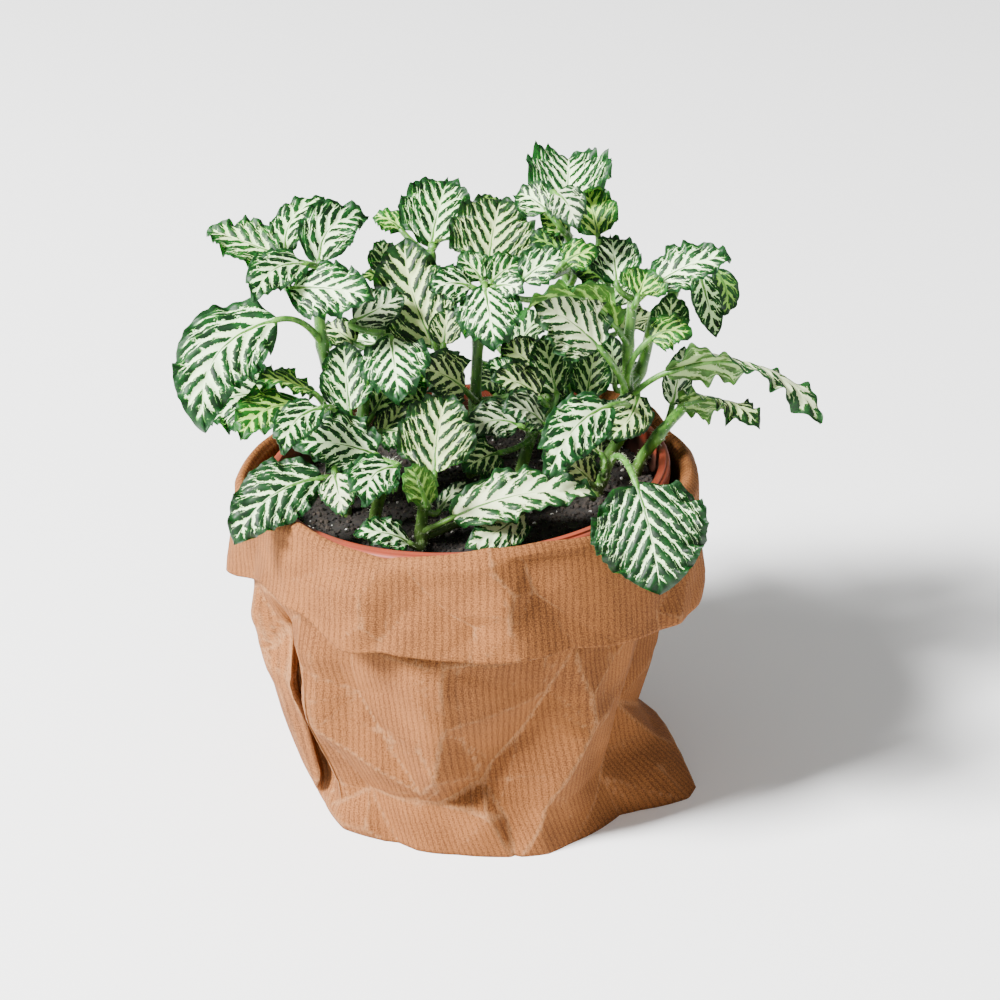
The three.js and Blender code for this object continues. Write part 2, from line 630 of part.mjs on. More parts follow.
function soilSolid() {
  const random = makeRandom(SOIL.seed);
  const bottom = POT.wall + GAP;
  const rings = [];
  for (const z of [bottom, bottom + 3, SOIL.level - 2]) {
    rings.push(circle(potInnerRadius(z) - GAP - (z === bottom ? 3 : 0), z, POT.sides));
  }
  for (let i = SOIL.rings; i >= 1; i -= 1) {
    const radius = ((potInnerRadius(SOIL.level) - GAP - 0.4) * i) / SOIL.rings;
    const ring = circle(radius, SOIL.level, POT.sides);
    ring.forEach((p) => {
      p.z += SOIL.lumps * (2 * random() - 1);
    });
    rings.push(ring);
  }
  let body = toSolid(placeInPot(loft(rings)));
  Object.values(STEMS).forEach((stem) => {
    const radius = STEM.footRadius + 1.5 * GAP;
    const height = 2 * STEM.holeDepth;
    const hole = new THREE.CylinderGeometry(radius, radius, height, SOIL.holeSides);
    hole.rotateX(Math.PI / 2);
    hole.translate(stem.root[0], stem.root[1], soilHeight(stem.root[0]));
    body = body.subtract(toSolid(hole));
  });
  return body;
}

function circle(radius, z, sides) {
  const ring = [];
  for (let k = 0; k < sides; k += 1) {
    const angle = (2 * Math.PI * k) / sides;
    ring.push(new THREE.Vector3(radius * Math.cos(angle), radius * Math.sin(angle), z));
  }
  return ring;
}

// The pot leans a little to the left in its bag, and the soil leans with it.
function placeInPot(geometry) {
  geometry.rotateY(POT.tilt);
  geometry.translate(0, 0, POT.lift);
  return geometry;
}

// ---- paper bag ----------------------------------------------------------------------------

// How far the folds push the paper out at an azimuth and a height.
function foldDepth(folds, azimuth, z) {
  let depth = 0;
  folds.forEach(([centre, halfWidth, height, from, to, slant]) => {
    const line = centre + slant * (z - (from + to) / 2);
    const turn = THREE.MathUtils.euclideanModulo(azimuth - line + 180, 360) - 180;
    const across = Math.max(0, 1 - Math.abs(turn) / halfWidth);
    const along = THREE.MathUtils.clamp(Math.min(z - from, to - z) / 9, 0, 1);
    depth += height * across * along;
  });
  return depth;
}

function bagPoint(middle, radius, azimuth, z) {
  const angle = THREE.MathUtils.degToRad(azimuth);
  return new THREE.Vector3(middle + radius * Math.cos(angle), radius * Math.sin(angle), z);
}

// The paper can't come nearer to the body's middle than the pot inside it lets it.
function clearOfPot(middle, azimuth, z) {
  const inside = (z - POT.lift) / Math.cos(POT.tilt);
  const axis = inside * Math.sin(POT.tilt);
  const radius = mix(POT.baseRadius, POT.neckRadius, THREE.MathUtils.clamp(inside / POT.height, 0, 1));
  return radius + 1.5 + (axis - middle) * Math.cos(THREE.MathUtils.degToRad(azimuth));
}

function bodyPoint(azimuth, z, inset) {
  const middle = readOff(BAG.middle, z);
  const paper = readOff(BAG.body, z) + foldDepth(BODY_FOLDS, azimuth, z) - inset;
  return bagPoint(middle, Math.max(paper, clearOfPot(middle, azimuth, z) + BAG.wall - inset), azimuth, z);
}

// The wall inside the fold leans out from the top of the body to the crest.
function wallPoint(azimuth, below, outset) {
  const foot = BAG.rows[BAG.rows.length - 1];
  const top = readOff(BAG.fold, azimuth);
  const share = (top - below - foot) / (top - 1.6 - foot);
  const radius = mix(readOff(BAG.body, foot) - BAG.wall, readOff(BAG.crest, azimuth) - BAG.roll, share);
  return bagPoint(BAG.foldMiddle, radius + outset, azimuth, top - below);
}

function crestPoint(azimuth, below, outset) {
  return bagPoint(BAG.foldMiddle, readOff(BAG.crest, azimuth) + outset, azimuth, readOff(BAG.fold, azimuth) - below);
}

function cuffPoint(azimuth, share, inset) {
  const top = readOff(BAG.fold, azimuth) - 4;
  const z = mix(readOff(BAG.hem, azimuth), top, share);
  const upper = readOff(BAG.crest, azimuth) + 1.5 * BAG.roll;
  const radius = mix(BAG.cuffRadius, upper, share) + foldDepth(CUFF_FOLDS, azimuth, z) * (1 - 0.6 * share);
  return bagPoint(BAG.cuffMiddle, radius - inset, azimuth, z);
}

function bagRings() {
  const azimuths = Array.from({ length: BAG.sides }, (_, k) => -180 + (360 * k) / BAG.sides);
  const ring = (point) => azimuths.map(point);
  const body = BAG.rows.map((z) => ring((a) => bodyPoint(a, z, 0)));
  const slot = [
    ring((a) => wallPoint(a, 3.6, BAG.wall)),
    ring((a) => wallPoint(a, 3.8, BAG.wall + 1)),
    ring((a) => cuffPoint(a, 0, BAG.wall)),
  ];
  const cuff = [0, 0.35, 0.7, 1].map((share) => ring((a) => cuffPoint(a, share, 0)));
  const crest = [
    ring((a) => crestPoint(a, 0.8, 0.7 * BAG.roll)),
    ring((a) => crestPoint(a, 0, -0.2 * BAG.roll)),
    ring((a) => wallPoint(a, 1.6, 0)),
  ];
  const inside = BAG.rows.toReversed().map((z) => ring((a) => bodyPoint(a, Math.max(z, BAG.wall), BAG.wall)));
  return [...body, ...slot, ...cuff, ...crest, ...inside];
}

// ---- the whole object ---------------------------------------------------------------------

function mesh(name, geometry, finish) {
  const part = new THREE.Mesh(geometry, new THREE.MeshStandardMaterial(finish));
  part.name = name;
  return part;
}

const plant = new THREE.Group();
plant.add(mesh('paper_bag', loft(bagRings(), BAG.turnFrom), FINISH.paper));
plant.add(mesh('nursery_pot', placeInPot(fromSolid(potSolid())), FINISH.pot));
plant.add(mesh('soil', fromSolid(soilSolid()), FINISH.soil));
Object.entries(STEMS).forEach(([name, stem]) => plant.add(mesh(name, leafyStem(stem), FINISH.leaf)));

export default plant;
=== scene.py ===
"""The potted nerve plant's finished surfaces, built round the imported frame.

The tables give millimetres in the frame's own axes: +Z up, -Y the front, and the origin in the
middle of the bag's flat base. Meshes are written in metres.
"""

import logging
import math
from dataclasses import dataclass, replace
from enum import Enum
from typing import ClassVar

import bpy
import numpy as np
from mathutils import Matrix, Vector, noise
from mathutils.bvhtree import BVHTree
from mathutils.geometry import delaunay_2d_cdt


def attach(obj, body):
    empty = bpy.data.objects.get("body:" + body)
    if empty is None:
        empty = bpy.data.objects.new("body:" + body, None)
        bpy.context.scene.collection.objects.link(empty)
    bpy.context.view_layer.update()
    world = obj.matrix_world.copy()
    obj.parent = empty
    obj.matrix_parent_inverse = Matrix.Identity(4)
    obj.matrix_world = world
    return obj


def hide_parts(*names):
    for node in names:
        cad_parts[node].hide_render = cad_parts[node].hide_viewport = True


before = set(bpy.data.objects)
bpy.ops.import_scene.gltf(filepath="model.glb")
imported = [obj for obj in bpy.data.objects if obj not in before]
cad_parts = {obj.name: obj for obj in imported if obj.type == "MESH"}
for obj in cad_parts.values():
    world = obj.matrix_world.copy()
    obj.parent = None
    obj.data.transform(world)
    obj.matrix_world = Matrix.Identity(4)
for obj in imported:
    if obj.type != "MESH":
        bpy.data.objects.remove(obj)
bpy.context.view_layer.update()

MM = 0.001
UP = np.array((0.0, 0.0, 1.0))
FRONT = np.array((0.0, -0.9, 0.44))  # a blade of face 1 looks this way
BODY = "root"

logging.basicConfig(level=logging.INFO, format="%(message)s")
log = logging.getLogger("nerve_plant")

Triple = tuple[float, float, float]
Colour = tuple[float, float, float]


# ---- node graphs ----------------------------------------------------------------------------

class Flow:
    """What runs from one node of a tree to the next; arithmetic on it adds Math nodes."""

    def __init__(self, graph: "Graph", socket: bpy.types.NodeSocket) -> None:
        """Keeps the socket that it comes out of, and the graph that its nodes go into."""
        self.graph, self.socket = graph, socket

    def __add__(self, other: "Value") -> "Flow":
        """Adds a value."""
        return self.graph.math("ADD", self, other)

    def __radd__(self, other: float) -> "Flow":
        """Is added to a number."""
        return self.graph.math("ADD", other, self)

    def __sub__(self, other: "Value") -> "Flow":
        """Takes a value away."""
        return self.graph.math("SUBTRACT", self, other)

    def __rsub__(self, other: float) -> "Flow":
        """Is taken away from a number."""
        return self.graph.math("SUBTRACT", other, self)

    def __mul__(self, other: "Value") -> "Flow":
        """Multiplies by a value."""
        return self.graph.math("MULTIPLY", self, other)

    def __truediv__(self, other: "Value") -> "Flow":
        """Divides by a value."""
        return self.graph.math("DIVIDE", self, other)

    def __gt__(self, other: "Value") -> "Flow":
        """Gives 1 where it is larger than a value and 0 elsewhere."""
        return self.graph.math("GREATER_THAN", self, other)

    def __abs__(self) -> "Flow":
        """Drops the sign."""
        return self.graph.math("ABSOLUTE", self)


Value = Flow | bpy.types.NodeSocket | float | int | tuple


class Graph:
    """Adds nodes to one tree and joins them."""

    def __init__(self, tree: bpy.types.NodeTree) -> None:
        """Keeps the tree that the nodes go into."""
        self.tree = tree

    def set(self, node: bpy.types.Node, values: dict[str | int, Value]) -> None:
        """Fills a node's inputs, by their name or number, with flows or constants."""
        for key, value in values.items():
            value = value.socket if isinstance(value, Flow) else value
            if isinstance(value, bpy.types.NodeSocket):
                self.tree.links.new(value, node.inputs[key])
            else:
                node.inputs[key].default_value = value

    def put(self, kind: str, values: dict[str | int, Value] | None = None, **settings) -> bpy.types.Node:
        """Adds a node.

        Args:
            kind: the node's type name.
            values: what goes into its inputs.
            **settings: the node's own options.

        Returns:
            The new node.
        """
        node = self.tree.nodes.new(kind)
        for name, setting in settings.items():
            setattr(node, name, setting)
        self.set(node, values or {})
        return node

    def get(self, kind: str, values: dict[str | int, Value] | None = None, output: str | int = 0, **settings) -> Flow:
        """Adds a node and gives one of its outputs, by name or number."""
        return Flow(self, self.put(kind, values, **settings).outputs[output])

    def math(self, operation: str, *values: Value) -> Flow:
        """Adds a Math node."""
        return self.get("ShaderNodeMath", dict(enumerate(values)), operation=operation)

    def combine(self, x: Value, y: Value, z: Value = 0.0) -> Flow:
        """Makes a vector of three numbers."""
        return self.get("ShaderNodeCombineXYZ", {0: x, 1: y, 2: z})

    def split(self, vector: Value) -> tuple[Flow, ...]:
        """Gives the three numbers of a vector."""
        return tuple(Flow(self, part) for part in self.put("ShaderNodeSeparateXYZ", {0: vector}).outputs)

    def place(self) -> Flow:
        """Gives the place on the piece in its own axes, in metres."""
        return self.get("ShaderNodeTexCoord", output="Object")

    def attribute(self, name: str, output: str = "Vector") -> Flow:
        """Reads what the mesh carries under a name."""
        return self.get("ShaderNodeAttribute", output=output, attribute_name=name)

    def step(self, value: Value, start: Value, end: Value) -> Flow:
        """Runs smoothly from 0 where the value is at start to 1 where it is at end."""
        values = {"Value": value, "From Min": start, "From Max": end, "To Min": 0.0, "To Max": 1.0}
        return self.get("ShaderNodeMapRange", values, "Result", interpolation_type="SMOOTHSTEP")

    def blend(self, share: Value, low: Value, high: Value) -> Flow:
        """Mixes two colours by a share."""
        low, high = ((*colour, 1.0) if isinstance(colour, tuple) else colour for colour in (low, high))
        return self.get("ShaderNodeMix", {0: share, 6: low, 7: high}, 2, data_type="RGBA")

    def noise(self, vector: Value, scale: float, detail: float = 3.0, rough: float = 0.5) -> Flow:
        """Noise between about 0 and 1 at a scale per unit of the vector."""
        return self.get("ShaderNodeTexNoise", {"Vector": vector, "Scale": scale, "Detail": detail, "Roughness": rough})

    def bump(self, height: Value, distance: float, strength: float, **under: Value) -> Flow:
        """Makes a relief of a height, of which 1 stands so many millimetres out."""
        return self.get("ShaderNodeBump", {"Strength": strength, "Distance": distance * MM, "Height": height, **under})


def new_material(name: str) -> tuple[bpy.types.Material, Graph, bpy.types.Node]:
    """Makes an empty material.

    Args:
        name: the finish it shows.

    Returns:
        The material, its graph and its shader node.
    """
    material = bpy.data.materials.new(name)
    material.use_nodes = True
    material.node_tree.nodes.clear()
    graph = Graph(material.node_tree)
    shader = graph.put("ShaderNodeBsdfPrincipled")
    graph.put("ShaderNodeOutputMaterial", {"Surface": shader.outputs[0]})
    return material, graph, shader


def mix(share: float, one: Colour, other: Colour) -> Colour:
    """Mixes two plain colours, with so much of the first."""
    return tuple(share * a + (1 - share) * b for a, b in zip(one, other))


# ---- finishes -------------------------------------------------------------------------------

@dataclass(frozen=True)
class LeafFinish:
    """The colours of a leaf, and its veins' half-widths.

    The midrib's is in millimetres, those of side veins and barbs are shares of their spacing, and the
    margin without veins is a share of half the blade's width.
    """

    vein: Colour
    haze: Colour
    blade: Colour
    deep: Colour
    rib: float
    side: float
    barb: float
    margin: float
    roughness: float = 0.5


class Look(Enum):
    """The kinds of leaf on this plant, by their veins, where OLIVE, GREY and DEEP are partly painted shade."""

    SNOWY = LeafFinish((0.72, 0.95, 0.52), (0.08, 0.29, 0.048), (0.0034, 0.047, 0.0068), (0.0012, 0.014, 0.0024),
                       0.72, 0.09, 0.245, 0.2)
    BOLD = LeafFinish((0.64, 0.9, 0.43), (0.056, 0.22, 0.028), (0.0034, 0.044, 0.0059), (0.0012, 0.013, 0.0024),
                      0.7, 0.075, 0.24, 0.19)
    NETTED = LeafFinish((0.66, 0.9, 0.46), (0.012, 0.085, 0.011), (0.0024, 0.034, 0.0045), (0.001, 0.012, 0.002),
                        0.5, 0.06, 0.11, 0.14)
    FINE = LeafFinish((0.55, 0.72, 0.32), (0.04, 0.19, 0.016), (0.0051, 0.06, 0.0059), (0.0016, 0.018, 0.0024),
                      0.5, 0.075, 0.18, 0.2)
    # partly the leaf's own colour, partly painted shade: a duller copy for leaves in shadow
    OLIVE = LeafFinish((0.5, 0.62, 0.26), (0.056, 0.15, 0.02), (0.0051, 0.034, 0.0051), (0.002, 0.01, 0.0024),
                       0.9, 0.11, 0.22, 0.17)
    # partly the leaf's own colour, partly painted shade: a duller copy for leaves in shadow
    GREY = LeafFinish((0.46, 0.56, 0.33), (0.064, 0.14, 0.036), (0.0068, 0.038, 0.0085), (0.0024, 0.013, 0.0032),
                      0.7, 0.12, 0.24, 0.15)
    PALE = LeafFinish((0.62, 0.72, 0.4), (0.096, 0.22, 0.048), (0.0068, 0.051, 0.0085), (0.0024, 0.016, 0.0032),
                      1.0, 0.14, 0.28, 0.15)
    LEAFY = LeafFinish((0.38, 0.6, 0.11), (0.048, 0.19, 0.012), (0.0085, 0.085, 0.0068), (0.0032, 0.029, 0.0032),
                       0.6, 0.08, 0.18, 0.17)
    # partly the leaf's own colour, partly painted shade: a duller copy for leaves in shadow
    DEEP = LeafFinish((0.17, 0.34, 0.05), (0.02, 0.096, 0.008), (0.0043, 0.036, 0.0051), (0.0016, 0.013, 0.0024),
                      0.5, 0.07, 0.15, 0.2)


class VeinPattern:
    """The feathery net of veins, as one node group that all leaf materials share.

    A leaf's mesh carries "place", which is the distance along and across the blade in millimetres
    and a number of its own, "build", its length, width and the spacing of its side veins, and "rim",
    the distance to the margin as a share of half the width. Reach is the way from the midrib to the
    margin, from 0 to 1, and a turn is the way from one side vein to the next.
    """

    SLOPE = 1.15  # how much further on than across a side vein runs
    CURVE = 0.03  # how much it leans towards the tip further out, per millimetre
    BARB_PITCH = 0.5  # from one barb to the next along a side vein, in spacings of side veins
    BARB_SLANT = 0.85  # how much further out than away from its vein a barb runs
    LEAF_STRIDE = 37.0  # how far one leaf's noise lies from the next one's
    WANDER = 2.6  # mm that side veins stray
    SIDE_START, SIDE_LOSS = 1.25, 0.65  # a side vein's width at the midrib, and what it loses up to the margin
    FLARE = 0.8  # how much wider it is near the midrib, in widths of a barb
    FLARE_REACH = (0.6, 0.05)  # where the flare starts and is full
    FADE = (0.5, 2.6)  # where veins are thinnest and whole, in widths of the margin
    THINNEST = 0.3  # share of their width that they keep there
    BARB_START, BARB_GAIN, BARB_LOSS = 0.55, 0.6, 2.1  # a barb's width at its vein, its gain by reach and loss by turn
    PATCH, PATCH_MEAN = 2.2, 0.46  # how barbs widen and narrow from patch to patch
    FORK_REACH = (0.55, 0.8)  # where the short veins between side veins set in and are whole
    RIB_START = 1.05  # the midrib's width at its base, in widths of its own
    JAG_SIDE, JAG_BARB, JAG_FORK, JAG_RIB = 0.42, 0.9, 0.4, 0.4  # how ragged each kind of vein is
    JAG_REACH, JAG_EDGE = 0.6, 0.14  # the same for where forks set in and for the margin
    SOFT_SIDE, SOFT_BARB, SOFT_RIB = 0.05, 0.07, 0.15  # the run of their soft edges
    PILLOW, PILLOW_TURN = 1.4, 0.35  # how the blade rises between side veins, and up to where
    SUNK = 0.4  # how deep side veins and midrib lie

    def __init__(self) -> None:
        """Makes the group with its sockets and fills it."""
        self.tree = bpy.data.node_groups.new("leaf_veins", "ShaderNodeTree")
        face = self.tree.interface
        for name in ("Rib", "Side", "Barb", "Margin"):
            face.new_socket(name, in_out="INPUT", socket_type="NodeSocketFloat")
        for name in ("Pale", "Relief", "Edge", "Mottle"):
            face.new_socket(name, in_out="OUTPUT", socket_type="NodeSocketFloat")
        self.fill(Graph(self.tree))

    def fill(self, g: Graph) -> None:
        """Joins the nodes that draw midrib, side veins, their barbs and forks, and the margin.

        Args:
            g: the group's graph.
        """
        given = g.put("NodeGroupInput").outputs
        rib_size, side_size, barb_size, margin = (Flow(g, given[name]) for name in ("Rib", "Side", "Barb", "Margin"))
        along, across, number = g.split(g.attribute("place"))
        length, width, spacing = g.split(g.attribute("build"))
        rim = g.attribute("rim", "Fac")
        out = abs(across)
        where = g.combine(along, across, number * self.LEAF_STRIDE)
        wander = (g.noise(where, 0.3, 1.0) - 0.5) * self.WANDER
        jag = g.noise(where, 1.5, 3.0, 0.6) - 0.5
        reach = out / (width * 0.5)
        run = along - out * self.SLOPE - out * out * self.CURVE
        turn = (run + wander) / spacing + (across > 0.0) * 0.5
        off = g.math("FRACT", turn + 0.5) - 0.5
        away = abs(off)
        thin = self.THINNEST + g.step(rim, *(margin * part for part in self.FADE)) * (1 - self.THINNEST)
        flare = g.step(reach, *self.FLARE_REACH) * (barb_size * self.FLARE)
        side_width = (side_size * (self.SIDE_START - reach * self.SIDE_LOSS) + flare) * thin
        side = self.line(g, away + jag * self.JAG_SIDE, side_width, self.SOFT_SIDE)
        beat = (out - away * spacing * self.BARB_SLANT) / (spacing * self.BARB_PITCH)
        beat = beat + (off > 0.0) * 0.5 + jag * self.JAG_BARB
        point = self.BARB_START + reach * self.BARB_GAIN - away * self.BARB_LOSS
        point = point + (g.noise(where, 0.75, 2.0) - self.PATCH_MEAN) * self.PATCH
        barb = self.line(g, g.math("PINGPONG", beat, 0.5), barb_size * point * thin, self.SOFT_BARB)
        fork = self.line(g, 0.5 - away + jag * self.JAG_FORK, side_size * 0.5, self.SOFT_SIDE)
        fork = fork * g.step(reach + jag * self.JAG_REACH, *self.FORK_REACH)
        rib = self.line(g, out + jag * self.JAG_RIB, rib_size * (self.RIB_START - along / length), self.SOFT_RIB)
        veins = g.math("MAXIMUM", g.math("MAXIMUM", side, fork), g.math("MAXIMUM", barb, rib))
        edge = g.step(rim + jag * self.JAG_EDGE, margin * 0.4, margin)
        pillow = g.math("MINIMUM", away, self.PILLOW_TURN) * self.PILLOW
        relief = pillow - g.math("MAXIMUM", side, rib) * self.SUNK
        mottle = g.noise(where, 0.3, 3.0)
        g.put("NodeGroupOutput", {"Pale": veins * edge, "Relief": relief, "Edge": edge, "Mottle": mottle})

    def line(self, g: Graph, off: Flow, half_width: Flow, soft: float) -> Flow:
        """Gives 1 within a line's half-width and 0 outside it, with a soft edge."""
        return g.step(off, half_width + soft, half_width - soft)


class LeafMaterials:
    """The upper and under side of each look, made when first asked for."""

    BUMP = 0.5
    SUBSURFACE = 0.12
    UNDER_BLADE: Colour = (0.04, 0.13, 0.014)
    UNDER_RIB: Colour = (0.24, 0.46, 0.09)

    def __init__(self) -> None:
        """Makes the shared veins and an empty store."""
        self.veins = VeinPattern()
        self.made: dict[tuple[Look, bool], bpy.types.Material] = {}

    def get(self, look: Look, under: bool) -> bpy.types.Material:
        """Gives the material of one look's upper or under side."""
        key = (look, under)
        if key not in self.made:
            self.made[key] = self.under_side(look) if under else self.upper_side(look)
        return self.made[key]

    def pattern(self, g: Graph, finish: LeafFinish) -> tuple[Flow, ...]:
        """Adds the vein group with a finish's widths and gives its outputs."""
        widths = {"Rib": finish.rib, "Side": finish.side, "Barb": finish.barb, "Margin": finish.margin}
        node = g.put("ShaderNodeGroup", node_tree=self.veins.tree)
        g.set(node, widths)
        return tuple(Flow(g, output) for output in node.outputs)

    def shade(self, g: Graph, shader: bpy.types.Node, colour: Flow, relief: Flow, finish: LeafFinish) -> None:
        """Sets what both sides of a leaf share: colour, sheen, relief and a little light let through."""
        grain = g.noise(g.place(), 2600.0, 2.0)
        g.set(shader, {"Base Color": colour, "Normal": g.bump(relief + grain * 0.25, 0.35, self.BUMP),
                       "Roughness": finish.roughness, "Specular IOR Level": 0.22,
                       "Subsurface Weight": self.SUBSURFACE, "Subsurface Radius": (0.4, 1.0, 0.2),
                       "Subsurface Scale": 1.2 * MM})

    def upper_side(self, look: Look) -> bpy.types.Material:
        """Pale veins on a dark blade with a green margin."""
        finish = look.value
        material, g, shader = new_material(f"leaf_{look.name.lower()}")
        pale, relief, edge, mottle = self.pattern(g, finish)
        blade = g.blend(g.step(mottle, 0.35, 0.65), finish.deep, finish.blade)
        blade = g.blend(edge, mix(0.5, finish.blade, finish.deep), blade)
        hazed = g.blend(g.step(pale, 0.0, 0.4), blade, finish.haze)
        self.shade(g, shader, g.blend(g.step(pale, 0.3, 0.8), hazed, finish.vein), relief, finish)
        return material

    def under_side(self, look: Look) -> bpy.types.Material:
        """Pale green with lighter ribs and only a hint of the pattern above."""
        finish = look.value
        material, g, shader = new_material(f"leaf_{look.name.lower()}_under")
        pale, relief, _, mottle = self.pattern(g, finish)
        base = mix(0.6, self.UNDER_BLADE, finish.haze)
        blade = g.blend(g.step(mottle, 0.3, 0.7), tuple(0.45 * part for part in base), base)
        colour = g.blend(pale * 0.85, blade, mix(0.6, self.UNDER_RIB, finish.vein))
        self.shade(g, shader, colour, relief * -1.0, finish)
        return material


@dataclass(frozen=True)
class StalkFinish:
    """Juicy green stems, paler where light falls and streaked along."""

    light: Colour = (0.11, 0.28, 0.032)
    dark: Colour = (0.035, 0.13, 0.014)
    old: Colour = (0.1, 0.14, 0.036)
    old_below: tuple[float, float] = (0.108, 0.09)  # m above the floor, where the old colour starts and is full

    def make(self) -> bpy.types.Material:
        """Builds the material."""
        material, g, shader = new_material("green_stem")
        at = g.place()
        drawn_out = g.get("ShaderNodeMapping", {"Vector": at, "Scale": (1.0, 1.0, 0.25)})
        streak = g.step(g.noise(drawn_out, 700.0, 4.0), 0.35, 0.7)
        foot = g.step(g.split(at)[2], *self.old_below)
        colour = g.blend(foot * 0.6, g.blend(streak, self.dark, self.light), self.old)
        g.set(shader, {"Base Color": colour, "Normal": g.bump(streak, 0.15, 0.35), "Roughness": 0.45,
                       "Subsurface Weight": 0.2, "Subsurface Radius": (0.5, 1.0, 0.2),
                       "Subsurface Scale": 1.5 * MM})
        return material


@dataclass(frozen=True)
class SpeckFinish:
    """A small rough thing whose colour differs from one to the next."""

    name: str
    low: Colour
    high: Colour
    scale: float = 900.0
    roughness: float = 0.9

    def make(self) -> bpy.types.Material:
        """Builds the material."""
        material, g, shader = new_material(self.name)
        at = g.place()
        tone = g.step(g.noise(at, self.scale, 3.0, 0.6), 0.35, 0.65)
        g.set(shader, {"Base Color": g.blend(tone, self.low, self.high),
                       "Normal": g.bump(g.noise(at, 3500.0, 3.0), 0.2, 0.6), "Roughness": self.roughness})
        return material


@dataclass(frozen=True)
class PaperFinish:
    """Brown kraft paper: fine ribs, fibres, blotches and pale creases, partly from wear and partly painted highlight.
    """

    light: Colour = (0.262, 0.099, 0.03)
    dark: Colour = (0.088, 0.032, 0.011)
    # pale crease colour: partly wear, partly painted highlight
    crease: Colour = (0.44, 0.24, 0.12)
    rib_pitch: float = 1.9  # mm from one rib to the next
    rib_wander: float = 0.0006  # m that a rib strays
    rib_strength: tuple[float, float] = (0.5, 0.6)  # the least, and what streaks add
    rib_tone: float = 0.19
    fibre_tone: float = 0.6
    blotch_tone: float = 0.5
    speck_tone: float = 1.7
    tones: tuple[float, float] = (0.14, 0.72)  # the sums of all these that are dark and light
    wear_and_highlight: float = 0.3

    def make(self) -> bpy.types.Material:
        """Builds the material from the sheet's own map, which is laid out in metres."""
        material, g, shader = new_material("kraft_paper")
        sheet = g.get("ShaderNodeUVMap", uv_map="sheet")
        across, down, _ = g.split(sheet)
        phase = (across + g.noise(sheet, 90.0, 2.0) * self.rib_wander) * (2 * math.pi / (self.rib_pitch * MM))
        groove = g.step(g.math("SINE", phase), -0.3, 1.0)
        fibre = g.noise(g.combine(across * 3.2, down), 900.0, 5.0, 0.65)
        streak = g.noise(g.combine(across * 2.6, down * 0.2), 210.0, 3.0, 0.7)
        least, more = self.rib_strength
        rib = 1.0 - groove * (least + streak * more)
        tone = rib * self.rib_tone + fibre * self.fibre_tone
        tone = tone + (g.noise(sheet, 55.0, 4.0, 0.6) - 0.5) * self.blotch_tone
        tone = tone + (g.noise(sheet, 2600.0, 2.0, 0.7) - 0.5) * self.speck_tone
        plain = g.blend(g.step(tone, *self.tones), self.dark, self.light)
        # pale creases where the sheet bends: partly wear, partly painted highlight
        wear_and_highlight = g.step(g.attribute("crease", "Fac"), 0.15, 0.9) * g.step(fibre, 0.3, 0.6)
        grain = g.bump(rib * 0.6 + fibre * 0.35, 0.12, 0.5)
        dents = g.bump(g.noise(sheet, 150.0, 3.0), 0.9, 0.5, Normal=grain)
        g.set(shader, {"Base Color": g.blend(wear_and_highlight * self.wear_and_highlight, plain, self.crease), "Normal": dents,
                       "Roughness": 0.85, "Specular IOR Level": 0.12})
        return material


@dataclass(frozen=True)
class PotFinish:
    """Thin terracotta-coloured plastic, a little dusty, and darkened below the rim by painted shade."""

    base: Colour = (0.23, 0.038, 0.017)
    dust: Colour = (0.13, 0.04, 0.022)
    # painted shade: the colour that darkens the pot below the rim
    painted_shade: Colour = (0.022, 0.012, 0.008)
    rim_level: float = 0.1001  # m, over the pot's middle; the rim rises to +X as the pot leans
    rim_slope: float = 0.0577
    shaded_below_rim: tuple[float, float] = (0.0022, 0.006)  # m below the rim, where the painted shade starts and is full

    def make(self) -> bpy.types.Material:
        """Builds the material."""
        material, g, shader = new_material("terracotta_plastic")
        at = g.place()
        cloud = g.noise(at, 120.0, 4.0, 0.6)
        speck = g.step(g.noise(at, 1800.0, 2.0), 0.62, 0.72)
        clean = g.blend(g.step(cloud, 0.45, 0.7) * 0.5 + speck * 0.4, self.base, self.dust)
        x, _, z = g.split(at)
        below = x * self.rim_slope + self.rim_level - z + (cloud - 0.5) * 0.006
        # painted shade: the pot darkens from a little below the rim down, so its inside wall above the soil looks
        # shadowed
        colour = g.blend(g.step(below, *self.shaded_below_rim) * 0.88, clean, self.painted_shade)
        g.set(shader, {"Base Color": colour, "Normal": g.bump(g.noise(at, 900.0, 3.0), 0.1, 0.25),
                       "Roughness": 0.55, "Specular IOR Level": 0.3})
        return material


# ---- skins ----------------------------------------------------------------------------------

def unit(vector: np.ndarray) -> np.ndarray:
    """Gives the vector, or each row of several, a length of one."""
    return vector / np.maximum(np.linalg.norm(vector, axis=-1, keepdims=True), 1e-12)


def new_object(name: str, data: bpy.types.ID) -> bpy.types.Object:
    """Makes an object and puts it in the scene."""
    thing = bpy.data.objects.new(name, data)
    bpy.context.scene.collection.objects.link(thing)
    return thing


def plain_mesh(thing: bpy.types.Object) -> bpy.types.Mesh:
    """Gives the mesh that an object's modifiers make, and takes them off it."""
    bpy.context.view_layer.update()
    graph = bpy.context.evaluated_depsgraph_get()
    mesh = bpy.data.meshes.new_from_object(thing.evaluated_get(graph), depsgraph=graph)
    thing.modifiers.clear()
    return mesh


def settle(piece: bpy.types.Object, slot: str, *nodes: str) -> None:
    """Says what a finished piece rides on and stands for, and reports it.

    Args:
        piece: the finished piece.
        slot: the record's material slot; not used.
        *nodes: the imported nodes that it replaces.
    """
    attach(piece, BODY)
    if nodes:
        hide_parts(*nodes)
    log.info("%s: %d faces", piece.name, len(piece.data.polygons))


